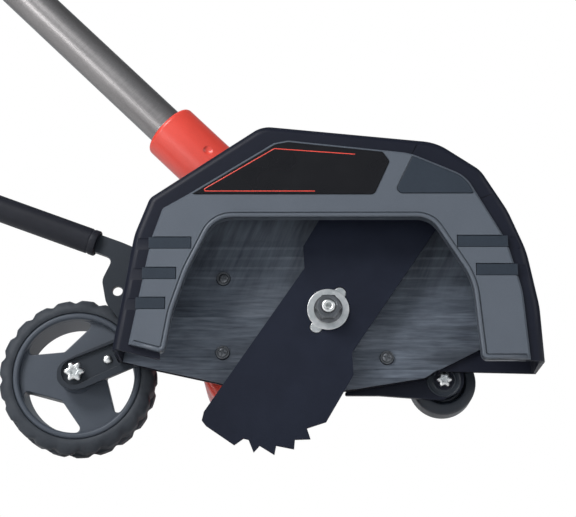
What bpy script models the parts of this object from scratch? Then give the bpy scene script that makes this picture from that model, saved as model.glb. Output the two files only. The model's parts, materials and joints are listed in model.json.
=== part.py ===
# Cordless lawn edger, built as the real machine is: a blade guard with a gear case and motor behind it,
# a wheel on a depth lever, a front roller, a telescopic tube, a loop handle and a rear handle with battery.
# Sizes are in millimetres and are turned into metres once, where a mesh or a place is made.
# The head is drawn from the middle of the blade: X runs to the right, Y to the motor side, Z up.
# The tube and handles are drawn along the tube: X runs up it, Y to the blade side, Z away from the lawn.
import math

import bmesh
import bpy
from mathutils import Matrix, Vector

for old in list(bpy.data.objects):
    bpy.data.objects.remove(old)

# Units and clearances
MM = 0.001
FIT = 0.3
RUN = 0.6
SCREW_PLAY = 0.3
PAST = 3.0

# Place of the blade's centre above the middle of the machine's foot print
HUB_X = 301.1
HUB_Y = -39.9
HUB_Z = 82.9

# Blade and its seat. Half of its outline is given by distances back from its tip and across its middle line.
BLADE_THICK = 2.5
BLADE_LEAN = 55.8
BLADE_HALF_WIDTH = 25.0
BLADE_TIP = 93.8
BLADE_TEETH = (
    (0.0, -0.3), (5.9, 1.9), (7.0, 4.6), (2.7, 11.0), (7.7, 11.7), (8.1, 21.4), (12.9, 19.3), (16.9, 28.7),
    (21.6, 26.1), (26.7, 33.1), (30.6, 28.0), (39.7, 35.0), (70.5, 32.9),
)
BLADE_TIP_CORNER = ((5.8, 0.0), (1.2, 1.8), (0.0, 5.5))
BLADE_HEEL = 13.0
LUG_REACH = 12.0
LUG_RADIUS = 3.4
LUG_PLAY = 0.4
FLANGE_RADIUS = 17.0
FLANGE_THICK = 3.0
FLANGE_HUB_RADIUS = 9.0
FLANGE_CONE = 1.5
FLANGE_STEP = 0.6
FLANGE_NOSE = 2.0
WASHER_RADIUS = 12.0
WASHER_THICK = 1.6
NUT_ACROSS = 13.0
NUT_HEIGHT = 7.5
NUT_FLANGE_RADIUS = 8.2
NUT_FLANGE_THICK = 1.6
THREAD_RADIUS = 4.0
SPINDLE_RADIUS = 5.0
SPINDLE_OVERHANG = 1.2
SPINDLE_CENTRE_RADIUS = 1.7
SPINDLE_CENTRE_DEPTH = 2.2

# Guard: depths run from the cover's face to the back wall
COVER_FACE = -24.0
COVER_THICK = 2.7
LIP_WIDTH = 2.4
LIP_PROUD = 0.8
LIP_DEEP = 4.0
WALL = 3.0
FRONT_WALL = 2.5
BACK_WALL = 2.7
BACK_OUTSIDE = 18.0
SHELL_EDGE_ROUND = 5.0
LINER_THICK = 2.2
RIDGE_PITCH = 6.0
RIDGE_HEIGHT = 0.9
RIDGE_START = -46.0
RIDGE_COUNT = 15
STRIP_HEIGHT = 6.6
STRIP_SUNK = 0.4
STRIP_HEIGHTS_LEFT = (33.5, 15.8, -1.5)
STRIP_HEIGHTS_RIGHT = (34.5, 18.0)
STRIP_FROM_WINDOW = 5.8
STRIP_PAST_EDGE = 1.0
LABEL_THICK = 1.2
LABEL_SINK = 0.9
PLATE_SCREW_RADIUS = 1.9
PLATE_HEAD_RADIUS = 3.9
PLATE_HEAD_THICK = 1.9
PLATE_SEAT = 0.2
PLATE_SCREWS = ((-60.5, 22.0), (-60.5, -22.0), (34.0, -25.0), (34.0, 21.0))

# Outlines of the guard from its left foot over the top to its right foot, and back along its lower edge.
# Each corner has its angle about the spindle, its gap outside the blade's sweep, and its rounding.
GUARD_OUTSIDE = (
    (-167.65, 28.1, 0), (160.07, 21.5, 40), (148.71, 23.6, 7), (109.79, 16.4, 16), (56.77, 18.6, 30),
    (41.91, 22.2, 18), (28.0, 20.3, 50), (15.19, 20.6, 60), (-0.97, 22.6, 60), (-15.6, 28.8, 0),
)
GUARD_COVER_EDGE = (
    (-167.44, 18.2, 0), (160.2, 10.5, 30), (150.12, 12.6, 3), (111.78, 3.9, 12), (61.68, 3.2, 36),
    (43.12, 11.7, 20), (18.95, 10.4, 50), (3.17, 12.7, 50), (-16.61, 20.3, 0),
)
GUARD_WINDOW = (
    (-161.83, 0.4, 0), (-176.07, -8.3, 50), (167.59, -14.4, 60), (143.0, -15.1, 16), (40.17, -20.2, 14),
    (8.68, -14.3, 40), (-21.43, -4.9, 0),
)
GUARD_UNDERSIDE = (
    (-27.07, -25.1, 3), (-33.31, -28.8, 4), (-71.8, -50.0, 60), (-108.06, -47.4, 20), (-145.19, -24.7, 20),
    (-161.64, 6.4, 0),
)
LABEL_CORNERS = ((141.25, 4.8, 1), (108.63, -1.9, 3), (63.0, -2.2, 5), (61.29, -24.0, 3))
PANEL_CORNERS = ((59.17, -21.3, 3), (60.36, 0.8, 1), (56.53, 3.9, 20), (47.99, 7.3, 20), (37.64, 9.0, 1))

# Gear train
GEAR_MODULE = 1.25
GEAR_TEETH = 49
PINION_TEETH = 12
GEAR_WIDTH = 7.0
GEAR_BACKLASH = 0.3
GEAR_ROOM = 1.6
GEAR_ROOM_AHEAD = 1.2
PINION_ROOM = 2.5
MOTOR_LEAN = 203.2
BEARING_RADIUS = 11.0
BEARING_WIDTH = 8.0
BEARING_GROOVE = 0.8
CASE_WALL = 5.5
CASE_MOTOR_WALL = 18.7
CASE_FRONT_WALL = 1.8
CASE_SCREW_INSET = 2.7
CASE_SCREW_ANGLES = (20.0, 300.0)
CASE_SCREW_RADIUS = 1.5
CASE_SCREW_HEAD_RADIUS = 2.6
CASE_SCREW_HEAD_THICK = 2.0
CASE_SCREW_LEFT = 6.0
LID_BACK_WALL = 2.4
MOTOR_RADIUS = 18.5
MOTOR_LENGTH = 54.0
MOTOR_WALL = 1.5
MOTOR_END_WALL = 2.0
SHAFT_RADIUS = 2.5
SHAFT_OVERHANG = 2.0
SHAFT_ROOM = 2.0
MOTOR_SHAFT_ROOM = 3.0
ROTOR_RADIUS = 13.0
ROTOR_END_GAP = 9.0
BARREL_RADIUS = 41.0
BARREL_WALL = 2.5
BARREL_SPARE = 10.0
BARREL_EDGE = 3.0
MOTOR_SEAT_LENGTH = 40.0
CAP_THICK = 4.0
CAP_PLUG = 4.0
VENTS = 3
VENT_PITCH = 13.0
VENT_LENGTH = 44.0
VENT_HEIGHT = 3.2

# Tubes, in distances up the tube from the foot of the perpendicular to the blade's centre
TUBE_SLOPE = 44.3
TUBE_ABOVE_HUB = 21.7
TUBE_BEHIND_GUARD = 22.0
TUBE_RADIUS = 12.0
TUBE_WALL = 1.5
NECK_RADIUS = 15.0
NECK_START = 48.0
NECK_END = 118.0
NECK_SOCKET = 26.0
NECK_ARM_WIDER = 1.0
NECK_ARM_LAP = 26.0
COLLAR_WALL = 2.4
COLLAR_LAP = 12.0
COLLAR_LENGTH = 50.5
COLLAR_TAPER = 5.0
COLLAR_STEP = 2.0
TUBE_END = 480.0
TUBE_LAP = 150.0
UPPER_WALL = 1.3
CLAMP_ON_LOWER = 42.0
CLAMP_ON_UPPER = 22.0
CLAMP_WALL = 6.2
LEVER_PIN_RADIUS = 2.5
LEVER_PIN_INSET = 12.0
LEVER_PIN_BELOW = 6.5
LEVER_PIN_PROUD = 1.5
LEVER_EAR_THICK = 4.0
LEVER_EAR_HALF = 6.0
LEVER_HALF_WIDTH = 6.4
LEVER_CAM = 5.0
LEVER_TAIL = 6.0
LEVER_UNDER_SLEEVE = 1.0

# Rear handle, along the tube
HANDLE_START = 690.0
HANDLE_LENGTH = 230.0
HANDLE_HALF = 17.5
HANDLE_ROUND = 4.0
SOCKET_DEPTH = 46.0
NOSE_WALL = 7.5
NOSE_LENGTH = 20.0
REAR_LENGTH = 56.0
REAR_STEP = 22.0
GRIP_TOP = 20.0
GRIP_UNDER = -17.0
KNUCKLE_UNDER = -50.0
FOOT_UNDER = -64.0
REAR_TOP = 40.0
WINDOW_FROM_START = 44.0
WINDOW_FROM_END = 50.0
TRIGGER_FROM_START = 66.0
TRIGGER_LENGTH = 48.0
TRIGGER_HALF = 6.0
TRIGGER_HEIGHT = -8.0
TRIGGER_DROP = 18.0
TRIGGER_ROOM_ABOVE = 15.0
TRUNNION_RADIUS = 2.2
TRUNNION_HALF = 11.7
TRIGGER_SPRING_RADIUS = 3.0
TRIGGER_SPRING_WIRE = 0.5
TRIGGER_SPRING_TURNS = 5
SPRING_FROM_END = 10.0
SWITCH_GAP = 4.0
SWITCH_LENGTH = 24.0
SWITCH_HALF_WIDTH = 7.0
SWITCH_HALF_HEIGHT = 8.0
LOCK_FROM_TRIGGER = 14.0
LOCK_HALF_LENGTH = 11.0
LOCK_HALF_WIDTH = 5.0
LOCK_PROUD = 4.0
LOCK_FLANGE = 2.0
LOCK_FLANGE_THICK = 2.6
LOCK_FLOOR_WALL = 1.6
LOCK_ROOF = 4.0
LOCK_SPRING_RADIUS = 4.0
LOCK_SPRING_WIRE = 0.4
LOCK_SPRING_TURNS = 3
SOFT_FROM_TRIGGER = 12.0
SOFT_FROM_END = 60.0
SOFT_THICK = 1.5
SOFT_ROUND = 5.0
HANDLE_SCREW_RADIUS = 1.6
HANDLE_HEAD_RADIUS = 2.9
HANDLE_HEAD_THICK = 1.9
HANDLE_HEAD_SINK = 1.4
HANDLE_SCREW_LEFT = 4.0
SCREW_FROM_START = 36.0
SCREW_UNDER_GRIP = 11.0
SCREW_FROM_END = 30.0
SCREW_OVER_FOOT = 9.0
CONTACT_DEEP = 12.0
CONTACT_HALF = 11.0
CONTACT_HEIGHT = 18.0

# Battery and its rail on the handle's rear face
BATTERY_HALF = 38.0
BATTERY_DEEP = 58.0
BATTERY_TOP = 52.0
BATTERY_UNDER = -58.0
RAIL_NECK_HALF = 14.0
RAIL_HEAD_HALF = 20.0
RAIL_NECK = 3.0
RAIL_HEAD = 4.0
RAIL_LOW = -50.0
RAIL_HIGH = 30.0
LATCH_FROM_FRONT = 24.0
LATCH_LENGTH = 20.0
LATCH_HALF = 13.0
LATCH_DEEP = 10.0
LATCH_PROUD = 3.5
LATCH_TRAVEL = 3.0

# Loop handle on the upper tube
LOOP_FROM_HANDLE = 58.0
LOOP_PIVOT_HEIGHT = 31.0
LOOP_HALF_WIDTH = 72.0
LOOP_HEIGHT = 122.0
LOOP_SHOULDER = 24.0
LOOP_SHOULDER_RISE = 14.0
LOOP_SHOULDER_ROUND = 14.0
LOOP_SIDE_ROUND = 20.0
LOOP_TOP_ROUND = 30.0
LOOP_NARROWER = 6.0
LOOP_FOOT = 11.0
LOOP_BAR_RADIUS = 8.5
BRACKET_HALF = 15.0
BRACKET_WALL = 6.2
BRACKET_EAR_REACH = 10.0
EAR_HALF = 11.0
LOOP_BOLT_RADIUS = 3.0
LOOP_BOLT_HEAD_RADIUS = 5.5
LOOP_BOLT_HEAD_THICK = 4.0
KNOB_RADIUS = 13.0
KNOB_LOBE = 2.0
KNOB_LOBES = 6
KNOB_THICK = 16.0
KNOB_SOCKET = 13.0

# Depth lever and rear wheel
PIVOT_ANGLE = -174.71
PIVOT_OUTSIDE = 12.6
ARM_LENGTH = 44.2
ARM_LEAN = 209.7
LEVER_THICK = 4.0
PIVOT_RADIUS = 4.0
PIVOT_NUT_HEIGHT = 3.4
PIVOT_HEAD_RADIUS = 6.0
PIVOT_HEAD_THICK = 4.2
PIVOT_HEAD_ROOM = 3.0
THREAD_SHOWING = 0.5
AXLE_RADIUS = 4.0
AXLE_HEAD_RADIUS = 5.2
AXLE_HEAD_THICK = 2.6
AXLE_NUT_HEIGHT = 5.4
WHEEL_RADIUS = 45.6
WHEEL_GAP = 1.2
WHEEL_WIDTH = 26.0
LUG_COUNT = 20
LUG_HEIGHT = 1.6
TREAD_GAP = 1.2
TYRE_THICK = 9.6
RIM_WALL = 3.2
RIM_LIP = 1.4
WHEEL_HUB_RADIUS = 9.5
SPOKE_ANGLE = 57.0
SPOKE_WIDTH = 15.0
SPOKE_INSET = 4.0
SPOKE_THICK = 11.0
SPOKES = 3
LEVER_BAR_LEAN = 159.68
LEVER_BAR_WIDTH = 11.0
GRIP_WALL = 1.2
GRIP_LENGTH = 104.0
GRIP_START = (-27.5, 55.5)
GRIP_END_ROOM = 3.5
GRIP_END_WALL = 3.5
LEVER_BEND = 13.4
CHANNEL_HALF = 6.4
CHANNEL_END = (-9.0, -8.8)
LEVER_EYE = (-14.8, 26.4)
ARM_EYE = (-12.0, -11.0)
ARM_RIVET = (18.8, 7.7)
CHANNEL_DEPTH = 1.6

# Corners of the lever, from its pivot or from the wheel's axle: across, up and rounding
LEVER_FRONT_SIDE = ((-1.5, 51.0, 6), (11.0, 20.0, 20), (13.0, -8.0, 12), (0.0, -17.0, 8))
LEVER_AROUND_AXLE = ((5.4, -9.6, 0), (-1.1, -10.7, 4), (-10.2, -6.1, 6), (-10.0, 4.4, 8), (-0.1, 9.7, 3))
LEVER_BACK_SIDE = ((-13.5, -1.5, 4), (-12.0, 8.0, 6), (-21.4, 19.0, 10), (-24.2, 33.0, 8))

# Front roller
ROLLER_ANGLE = -28.07
ROLLER_INSIDE = 19.3
ROLLER_RADIUS = 19.2
ROLLER_WIDTH = 20.0
ROLLER_RECESS_RADIUS = 12.5
ROLLER_RECESS_DEPTH = 3.0
ROLLER_EDGE = 2.4
ROLLER_HUB_RADIUS = 6.0
ROLLER_GAP = 1.5
ROLLER_ARM_STAND_OFF = 3.4
ROLLER_ARM_THICK = 3.6
ROLLER_PIN_RADIUS = 3.0
ROLLER_PIN_HEAD_RADIUS = 4.8
ROLLER_PIN_HEAD_THICK = 2.0

# Corners of the roller's arm. The first ones have an angle and a gap about the gear case, the others start
# from the roller's axis.
ROLLER_ARM_BY_CASE = ((-79.96, 6.9, 1), (-66.2, 3.2, 2), (-39.3, 3.6, 2), (-24.2, 4.9, 3))
ROLLER_ARM_CORNERS = (
    (-9.5, 17.5, 6), (0.5, 11.4, 8), (11.5, 6.0, 8), (11.5, -6.0, 9), (-1.5, -11.9, 9), (-37.5, -9.2, 30),
)
ROLLER_PAD_CORNERS = ((-25.5, 6.0, 3), (-25.5, 16.0, 3), (-10.5, 16.0, 3), (-10.5, 6.0, 3))


def material(name, colour, rough, metal=0.0):
    finish = bpy.data.materials.new(name)
    finish.use_nodes = True
    shader = finish.node_tree.nodes["Principled BSDF"]
    shader.inputs["Base Color"].default_value = (*colour, 1.0)
    shader.inputs["Roughness"].default_value = rough
    shader.inputs["Metallic"].default_value = metal
    finish.diffuse_color = (*colour, 1.0)
    return finish


BLACK_SHELL = material("black_shell", (0.028, 0.030, 0.033), 0.55)
GREY_COVER = material("grey_cover", (0.135, 0.145, 0.160), 0.5)
LABEL_BLACK = material("label_black", (0.012, 0.012, 0.013), 0.3)
PANEL_GREY = material("panel_grey", (0.045, 0.050, 0.055), 0.5)
LINER_BLACK = material("liner_black", (0.030, 0.031, 0.034), 0.6)
BLADE_BLACK = material("blade_black", (0.010, 0.010, 0.011), 0.5, 0.6)
STEEL = material("steel", (0.62, 0.62, 0.61), 0.35, 1.0)
DARK_STEEL = material("dark_steel", (0.12, 0.12, 0.125), 0.4, 1.0)
RED = material("red_plastic", (0.60, 0.025, 0.020), 0.35)
ALUMINIUM = material("aluminium_tube", (0.42, 0.42, 0.43), 0.35, 1.0)
RUBBER = material("rubber", (0.020, 0.021, 0.022), 0.8)
WHEEL_BLACK = material("wheel_black", (0.030, 0.031, 0.033), 0.5)
SWITCH_GREY = material("switch_grey", (0.20, 0.20, 0.21), 0.5)


def frame(name, at, turn=None):
    empty = bpy.data.objects.new(name, None)
    bpy.context.scene.collection.objects.link(empty)
    empty.matrix_world = Matrix.Translation(Vector(at) * MM) @ (turn or Matrix())
    return empty


def along_tube():
    slope = math.radians(TUBE_SLOPE)
    up_tube = Vector((-math.cos(slope), 0.0, math.sin(slope)))
    away = Vector((math.sin(slope), 0.0, math.cos(slope)))
    side = away.cross(up_tube)
    return Matrix((up_tube, side, away)).transposed().to_4x4()


HEAD = frame("head", (HUB_X, HUB_Y, HUB_Z))


def solid(name, bm, finish, parent=HEAD, pivot=(0, 0, 0), turn=None):
    """Closes a mesh drawn in its parent's frame, with its origin at the pivot."""
    bmesh.ops.recalc_face_normals(bm, faces=bm.faces)
    if turn:
        bmesh.ops.transform(bm, matrix=turn, verts=bm.verts)
    bmesh.ops.translate(bm, verts=bm.verts, vec=-Vector(pivot))
    bmesh.ops.scale(bm, verts=bm.verts, vec=(MM, MM, MM))
    mesh = bpy.data.meshes.new(name)
    bm.to_mesh(mesh)
    bm.free()
    if finish:
        mesh.materials.append(finish)
    mesh.shade_smooth()
    mesh.set_sharp_from_angle(angle=math.radians(32))
    piece = bpy.data.objects.new(name, mesh)
    bpy.context.scene.collection.objects.link(piece)
    piece.parent = parent
    piece.location = Vector(pivot) * MM
    return piece


def tool(name, bm, parent=HEAD, turn=None):
    """A cutter or an added form, used by Booleans and left out of the model."""
    piece = solid(name, bm, None, parent, turn=turn)
    piece.hide_render = True
    piece.display_type = "WIRE"
    return piece


def combine(piece, other, operation="DIFFERENCE"):
    step = piece.modifiers.new(operation.lower(), "BOOLEAN")
    step.operation = operation
    step.solver = "EXACT"
    step.object = other


def soften(piece, width, steps=2, angle=40.0):
    bevel = piece.modifiers.new("rounded_edges", "BEVEL")
    bevel.width = width * MM
    bevel.segments = steps
    bevel.limit_method = "ANGLE"
    bevel.angle_limit = math.radians(angle)


def prism(outline, front, back):
    """An outline in X and Z, drawn out between two depths along Y."""
    bm = bmesh.new()
    near = [bm.verts.new((x, front, z)) for x, z in outline]
    far = [bm.verts.new((x, back, z)) for x, z in outline]
    bm.faces.new(near)
    bm.faces.new(far[::-1])
    for i in range(len(outline)):
        bm.faces.new((near[i], near[i - 1], far[i - 1], far[i]))
    return bm


def drum(rings):
    """Outlines with the same number of points, each at its own depth, joined one to the next."""
    bm = bmesh.new()
    loops = [[bm.verts.new((x, depth, z)) for x, z in outline] for outline, depth in rings]
    bm.faces.new(loops[0])
    bm.faces.new(loops[-1][::-1])
    for one, two in zip(loops, loops[1:]):
        for i in range(len(one)):
            bm.faces.new((one[i], one[i - 1], two[i - 1], two[i]))
    return bm


def box(low, high):
    outline = [(low[0], low[2]), (high[0], low[2]), (high[0], high[2]), (low[0], high[2])]
    return prism(outline, low[1], high[1])


def spun(profile, centre=(0, 0), steps=24, closed=False, axis="Y"):
    """Points of radius and height, spun about a line through the centre along Y or X."""
    bm = bmesh.new()
    rings = []
    for radius, height in profile:
        ring = []
        for k in range(steps if radius > 0 else 1):
            angle = 2 * math.pi * k / steps
            a = radius * math.cos(angle)
            b = radius * math.sin(angle)
            point = (centre[0] + a, height, centre[1] + b) if axis == "Y" else (height, centre[0] + a, centre[1] + b)
            ring.append(bm.verts.new(point))
        rings.append(ring)
    pairs = list(zip(rings, rings[1:]))
    if closed:
        pairs.append((rings[-1], rings[0]))
    for one, two in pairs:
        if len(one) == len(two) == 1:
            continue
        for k in range(steps):
            n = (k + 1) % steps
            corners = [one[k % len(one)], one[n % len(one)], two[n % len(two)], two[k % len(two)]]
            bm.faces.new(list(dict.fromkeys(corners)))
    return bm


def ring_profile(inner, outer, front, back):
    return [(inner, front), (outer, front), (outer, back), (inner, back)]


NEARLY_STRAIGHT = math.radians(89.5)


def rounded(corners, steps=4):
    """An outline or path whose corners, given as x, z and radius, are rounded by arcs."""
    points = []
    for i, (x, z, radius) in enumerate(corners):
        here = Vector((x, z))
        back = (Vector(corners[i - 1][:2]) - here).normalized()
        ahead = (Vector(corners[(i + 1) % len(corners)][:2]) - here).normalized()
        half = back.angle(ahead) / 2
        if radius <= 0 or half > NEARLY_STRAIGHT:
            points.append((x, z))
            continue
        centre = here + (back + ahead).normalized() * radius / math.sin(half)
        start = here + back * radius / math.tan(half) - centre
        end = here + ahead * radius / math.tan(half) - centre
        sweep = end.angle_signed(start)
        for k in range(steps + 1):
            turned = Matrix.Rotation(sweep * k / steps, 2) @ start
            points.append(tuple(centre + turned))
    return points


def aside(path, distance):
    """A path moved to its left by a distance, with mitred corners."""
    moved = []
    for i, point in enumerate(path):
        here = Vector(point)
        back = (here - Vector(path[i - 1])) if i > 0 else None
        ahead = (Vector(path[i + 1]) - here) if i < len(path) - 1 else None
        back = (back or ahead).normalized()
        ahead = (ahead or back).normalized()
        normal = Vector((-back.y - ahead.y, back.x + ahead.x)).normalized()
        reach = distance / normal.dot(Vector((-back.y, back.x)))
        moved.append(tuple(here + normal * reach))
    return moved


def grown(outline, distance):
    """A closed outline moved outwards by a distance, or inwards by a negative one."""
    count = len(outline)
    area = sum(outline[i - 1][0] * outline[i][1] - outline[i][0] * outline[i - 1][1] for i in range(count))
    looped = [outline[-1]] + outline + [outline[0]]
    return aside(looped, -distance if area > 0 else distance)[1:-1]


def belt(first, first_radius, second, second_radius, steps=9):
    """The outline of a belt around two circles."""
    line = Vector(second) - Vector(first)
    lean = math.atan2(line.y, line.x)
    open_angle = math.acos((first_radius - second_radius) / line.length)
    points = []
    spans = (
        (second, second_radius, lean - open_angle, lean + open_angle),
        (first, first_radius, lean + open_angle, lean - open_angle + 2 * math.pi),
    )
    for centre, radius, start, end in spans:
        for k in range(steps + 1):
            angle = start + (end - start) * k / steps
            points.append((centre[0] + radius * math.cos(angle), centre[1] + radius * math.sin(angle)))
    return points


def circle(centre, radius, steps=16):
    angles = [2 * math.pi * k / steps for k in range(steps)]
    return [(centre[0] + radius * math.cos(a), centre[1] + radius * math.sin(a)) for a in angles]


def swept(points, radius, sides=12):
    """A round bar along a path, with flat ends."""
    bm = bmesh.new()
    path = [Vector(p) for p in points]
    first = (path[1] - path[0]).normalized()
    normal = first.orthogonal().normalized()
    rings = []
    for i, here in enumerate(path):
        ahead = path[min(i + 1, len(path) - 1)] - path[max(i - 1, 0)]
        ahead.normalize()
        normal = (normal - ahead * normal.dot(ahead)).normalized()
        other = ahead.cross(normal)
        angles = [2 * math.pi * k / sides for k in range(sides)]
        around_here = [(normal * math.cos(a) + other * math.sin(a)) * radius for a in angles]
        rings.append([bm.verts.new(here + outwards) for outwards in around_here])
    for one, two in zip(rings, rings[1:]):
        for k in range(sides):
            n = (k + 1) % sides
            bm.faces.new((one[k], one[n], two[n], two[k]))
    bm.faces.new(rings[0][::-1])
    bm.faces.new(rings[-1])
    return bm


def coil(axis_x, axis_y, low, high, radius, wire, turns):
    """A round-wire spring that stands along Z."""
    count = turns * 8
    points = []
    for k in range(count + 1):
        angle = 2 * math.pi * turns * k / count
        height = low + wire + (high - low - 2 * wire) * k / count
        points.append((axis_x + radius * math.cos(angle), axis_y + radius * math.sin(angle), height))
    return swept(points, wire, 4)


RECESS_SHARE = 0.55
RECESS_HALF = 0.45
RECESS_TURN = 20.0


def cross_screw(name, centre, head_face, head_radius, head_thick, shank_radius, end, parent=HEAD):
    """A pan-head screw along Y, with a cross recess in its head."""
    seat = head_face + head_thick
    profile = [
        (0, head_face), (head_radius * 0.7, head_face), (head_radius, head_face + head_thick * 0.5),
        (head_radius, seat), (shank_radius, seat), (shank_radius, end), (0, end),
    ]
    screw = solid(name, spun(profile, centre, 10), DARK_STEEL, parent)
    arm = head_radius * RECESS_SHARE
    half = RECESS_HALF
    recess = []
    for quarter in range(4):
        for x, z in ((half, half), (arm, half), (arm, -half)):
            turned = Matrix.Rotation(math.radians(RECESS_TURN - 90.0 * quarter), 2) @ Vector((x, z))
            recess.append((centre[0] + turned.x, centre[1] + turned.y))
    cross = prism(recess, head_face - PAST, head_face + head_thick * RECESS_SHARE)
    combine(screw, tool(f"{name}_recess", cross, parent))


def gear_outline(teeth, module, turn):
    """A spur gear's outline, with teeth thinned by the backlash."""
    pitch = teeth * module / 2
    half_gap = GEAR_BACKLASH / 2 / pitch
    root_half = math.pi / teeth * 0.66 - half_gap
    tip_half = math.pi / teeth * 0.24 - half_gap / 2
    root = pitch - 1.15 * module
    tip = pitch + 0.8 * module
    points = []
    for k in range(teeth):
        middle = turn + 2 * math.pi * k / teeth
        for radius, offset in ((root, -root_half), (tip, -tip_half), (tip, tip_half), (root, root_half)):
            points.append((radius * math.cos(middle + offset), radius * math.sin(middle + offset)))
    return points


# Blade outline, and the circle that the turning blade sweeps


def blade_half():
    """Half of the blade's outline: distance along the blade, and across it towards the teeth."""
    half = [(BLADE_TIP - back, inwards - BLADE_HALF_WIDTH) for back, inwards in BLADE_TIP_CORNER]
    half += [(BLADE_TIP - back, across) for back, across in BLADE_TEETH]
    return half + [(BLADE_HEEL, BLADE_HALF_WIDTH)]


BLADE_SWEEP = max(math.hypot(*point) for point in blade_half())


def polar(angle, reach):
    return (reach * math.cos(math.radians(angle)), reach * math.sin(math.radians(angle)))


def around(corners):
    """Corners given by angle about the spindle, gap outside the sweep and rounding, as x, z and rounding."""
    return [(*polar(angle, BLADE_SWEEP + outside), rounding) for angle, outside, rounding in corners]


OUTSIDE_CORNERS = around(GUARD_OUTSIDE)
OUTSIDE = rounded(OUTSIDE_CORNERS)
COVER_EDGE = rounded(around(GUARD_COVER_EDGE))
OPENING = rounded(around(GUARD_WINDOW))
UNDERSIDE = rounded([OUTSIDE_CORNERS[-1]] + around(GUARD_UNDERSIDE) + [OUTSIDE_CORNERS[0]], 3)[1:-1]
LABEL = rounded(around(LABEL_CORNERS), 3)
PANEL = rounded(around(PANEL_CORNERS), 3)
OPEN_BELOW = -BLADE_SWEEP
SHEET_REACH = max(abs(x) for x, z in OUTSIDE) + PAST

# Depths of the guard and its plates
COVER_BACK = COVER_FACE + COVER_THICK
SHELL_FACE = COVER_BACK + FIT
BACK_INSIDE = BACK_OUTSIDE - BACK_WALL
LINER_BACK = BACK_INSIDE - FIT
LINER_FACE = LINER_BACK - LINER_THICK

# Depths along the spindle
BLADE_FACE = -BLADE_THICK / 2
WASHER_BACK = BLADE_FACE - FIT
WASHER_FACE = WASHER_BACK - WASHER_THICK
NUT_BACK = WASHER_FACE - FIT
NUT_FACE = NUT_BACK - NUT_HEIGHT
SPINDLE_FACE = NUT_FACE - SPINDLE_OVERHANG
FLANGE_FACE = BLADE_THICK / 2 + FIT
CASE_FRONT = BACK_OUTSIDE + FIT
BEARING_FRONT = CASE_FRONT + CASE_FRONT_WALL
GEAR_FRONT = BEARING_FRONT + BEARING_WIDTH + GEAR_ROOM
CASE_BACK = GEAR_FRONT + GEAR_WIDTH + GEAR_ROOM
LID_FRONT = CASE_BACK + FIT
REAR_BEARING = LID_FRONT + RUN
LID_BACK = REAR_BEARING + BEARING_WIDTH + FIT + LID_BACK_WALL
SPINDLE_END = REAR_BEARING + BEARING_WIDTH
BARREL_FRONT = LID_BACK + FIT
BARREL_BACK = BARREL_FRONT + MOTOR_LENGTH + BARREL_SPARE
MOTOR_FRONT = BARREL_FRONT + BARREL_WALL + FIT
SHAFT_END = MOTOR_FRONT + MOTOR_LENGTH + SHAFT_OVERHANG
HUB = (0.0, 0.0)

# Gears and their case
GEAR_SPACING = (GEAR_TEETH + PINION_TEETH) * GEAR_MODULE / 2
MOTOR_AXIS = polar(MOTOR_LEAN, GEAR_SPACING)
GEAR_HOLLOW = GEAR_TEETH * GEAR_MODULE / 2 + GEAR_MODULE + GEAR_ROOM
PINION_HOLLOW = PINION_TEETH * GEAR_MODULE / 2 + GEAR_MODULE + PINION_ROOM
CASE_RADIUS = GEAR_HOLLOW + CASE_WALL
CASE_MOTOR_RADIUS = PINION_HOLLOW + CASE_MOTOR_WALL

# Lever, wheel and roller
PIVOT = polar(PIVOT_ANGLE, BLADE_SWEEP + PIVOT_OUTSIDE)
AXLE = tuple(Vector(PIVOT) + Vector(polar(ARM_LEAN, ARM_LENGTH)))
LEVER_FRONT = BACK_OUTSIDE + RUN
LEVER_BACK = LEVER_FRONT + LEVER_THICK
GRIP_BORE = math.hypot(LEVER_BAR_WIDTH, LEVER_THICK) / 2 + 2 * FIT
GRIP_RADIUS = GRIP_BORE + GRIP_WALL
WHEEL_FRONT = LEVER_BACK + FIT + PIVOT_NUT_HEIGHT + THREAD_SHOWING + WHEEL_GAP
RIM_RADIUS = WHEEL_RADIUS - TYRE_THICK
ROLLER_AXIS = polar(ROLLER_ANGLE, BLADE_SWEEP - ROLLER_INSIDE)
ROLLER_ARM_FRONT = BACK_OUTSIDE + ROLLER_ARM_STAND_OFF
ROLLER_FRONT = ROLLER_ARM_FRONT + ROLLER_ARM_THICK + ROLLER_GAP

# Places along the tube
TUBE_START = NECK_END - NECK_SOCKET
UPPER_RADIUS = TUBE_RADIUS - TUBE_WALL - FIT
HANDLE_END = HANDLE_START + HANDLE_LENGTH
LOOP_AT = HANDLE_START - LOOP_FROM_HANDLE
TRIGGER_PIVOT = HANDLE_START + TRIGGER_FROM_START
TRIGGER_END = TRIGGER_PIVOT + TRIGGER_LENGTH
SWITCH_AT = TRIGGER_END + SWITCH_GAP
LOCK_AT = TRIGGER_PIVOT + LOCK_FROM_TRIGGER
LOCK_FLOOR = TRIGGER_HEIGHT + TRIGGER_ROOM_ABOVE + LOCK_FLOOR_WALL

TURN = along_tube()
TUBE_DEPTH = BACK_OUTSIDE + TUBE_BEHIND_GUARD
FOOT = Vector((HUB_X, HUB_Y + TUBE_DEPTH, HUB_Z)) + TURN.col[2].to_3d() * TUBE_ABOVE_HUB
TUBE = frame("tube_line", FOOT, TURN)


def below(path):
    """A path from left to right, closed far below both of its feet."""
    return path + [(path[-1][0], OPEN_BELOW), (path[0][0], OPEN_BELOW)]


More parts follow.
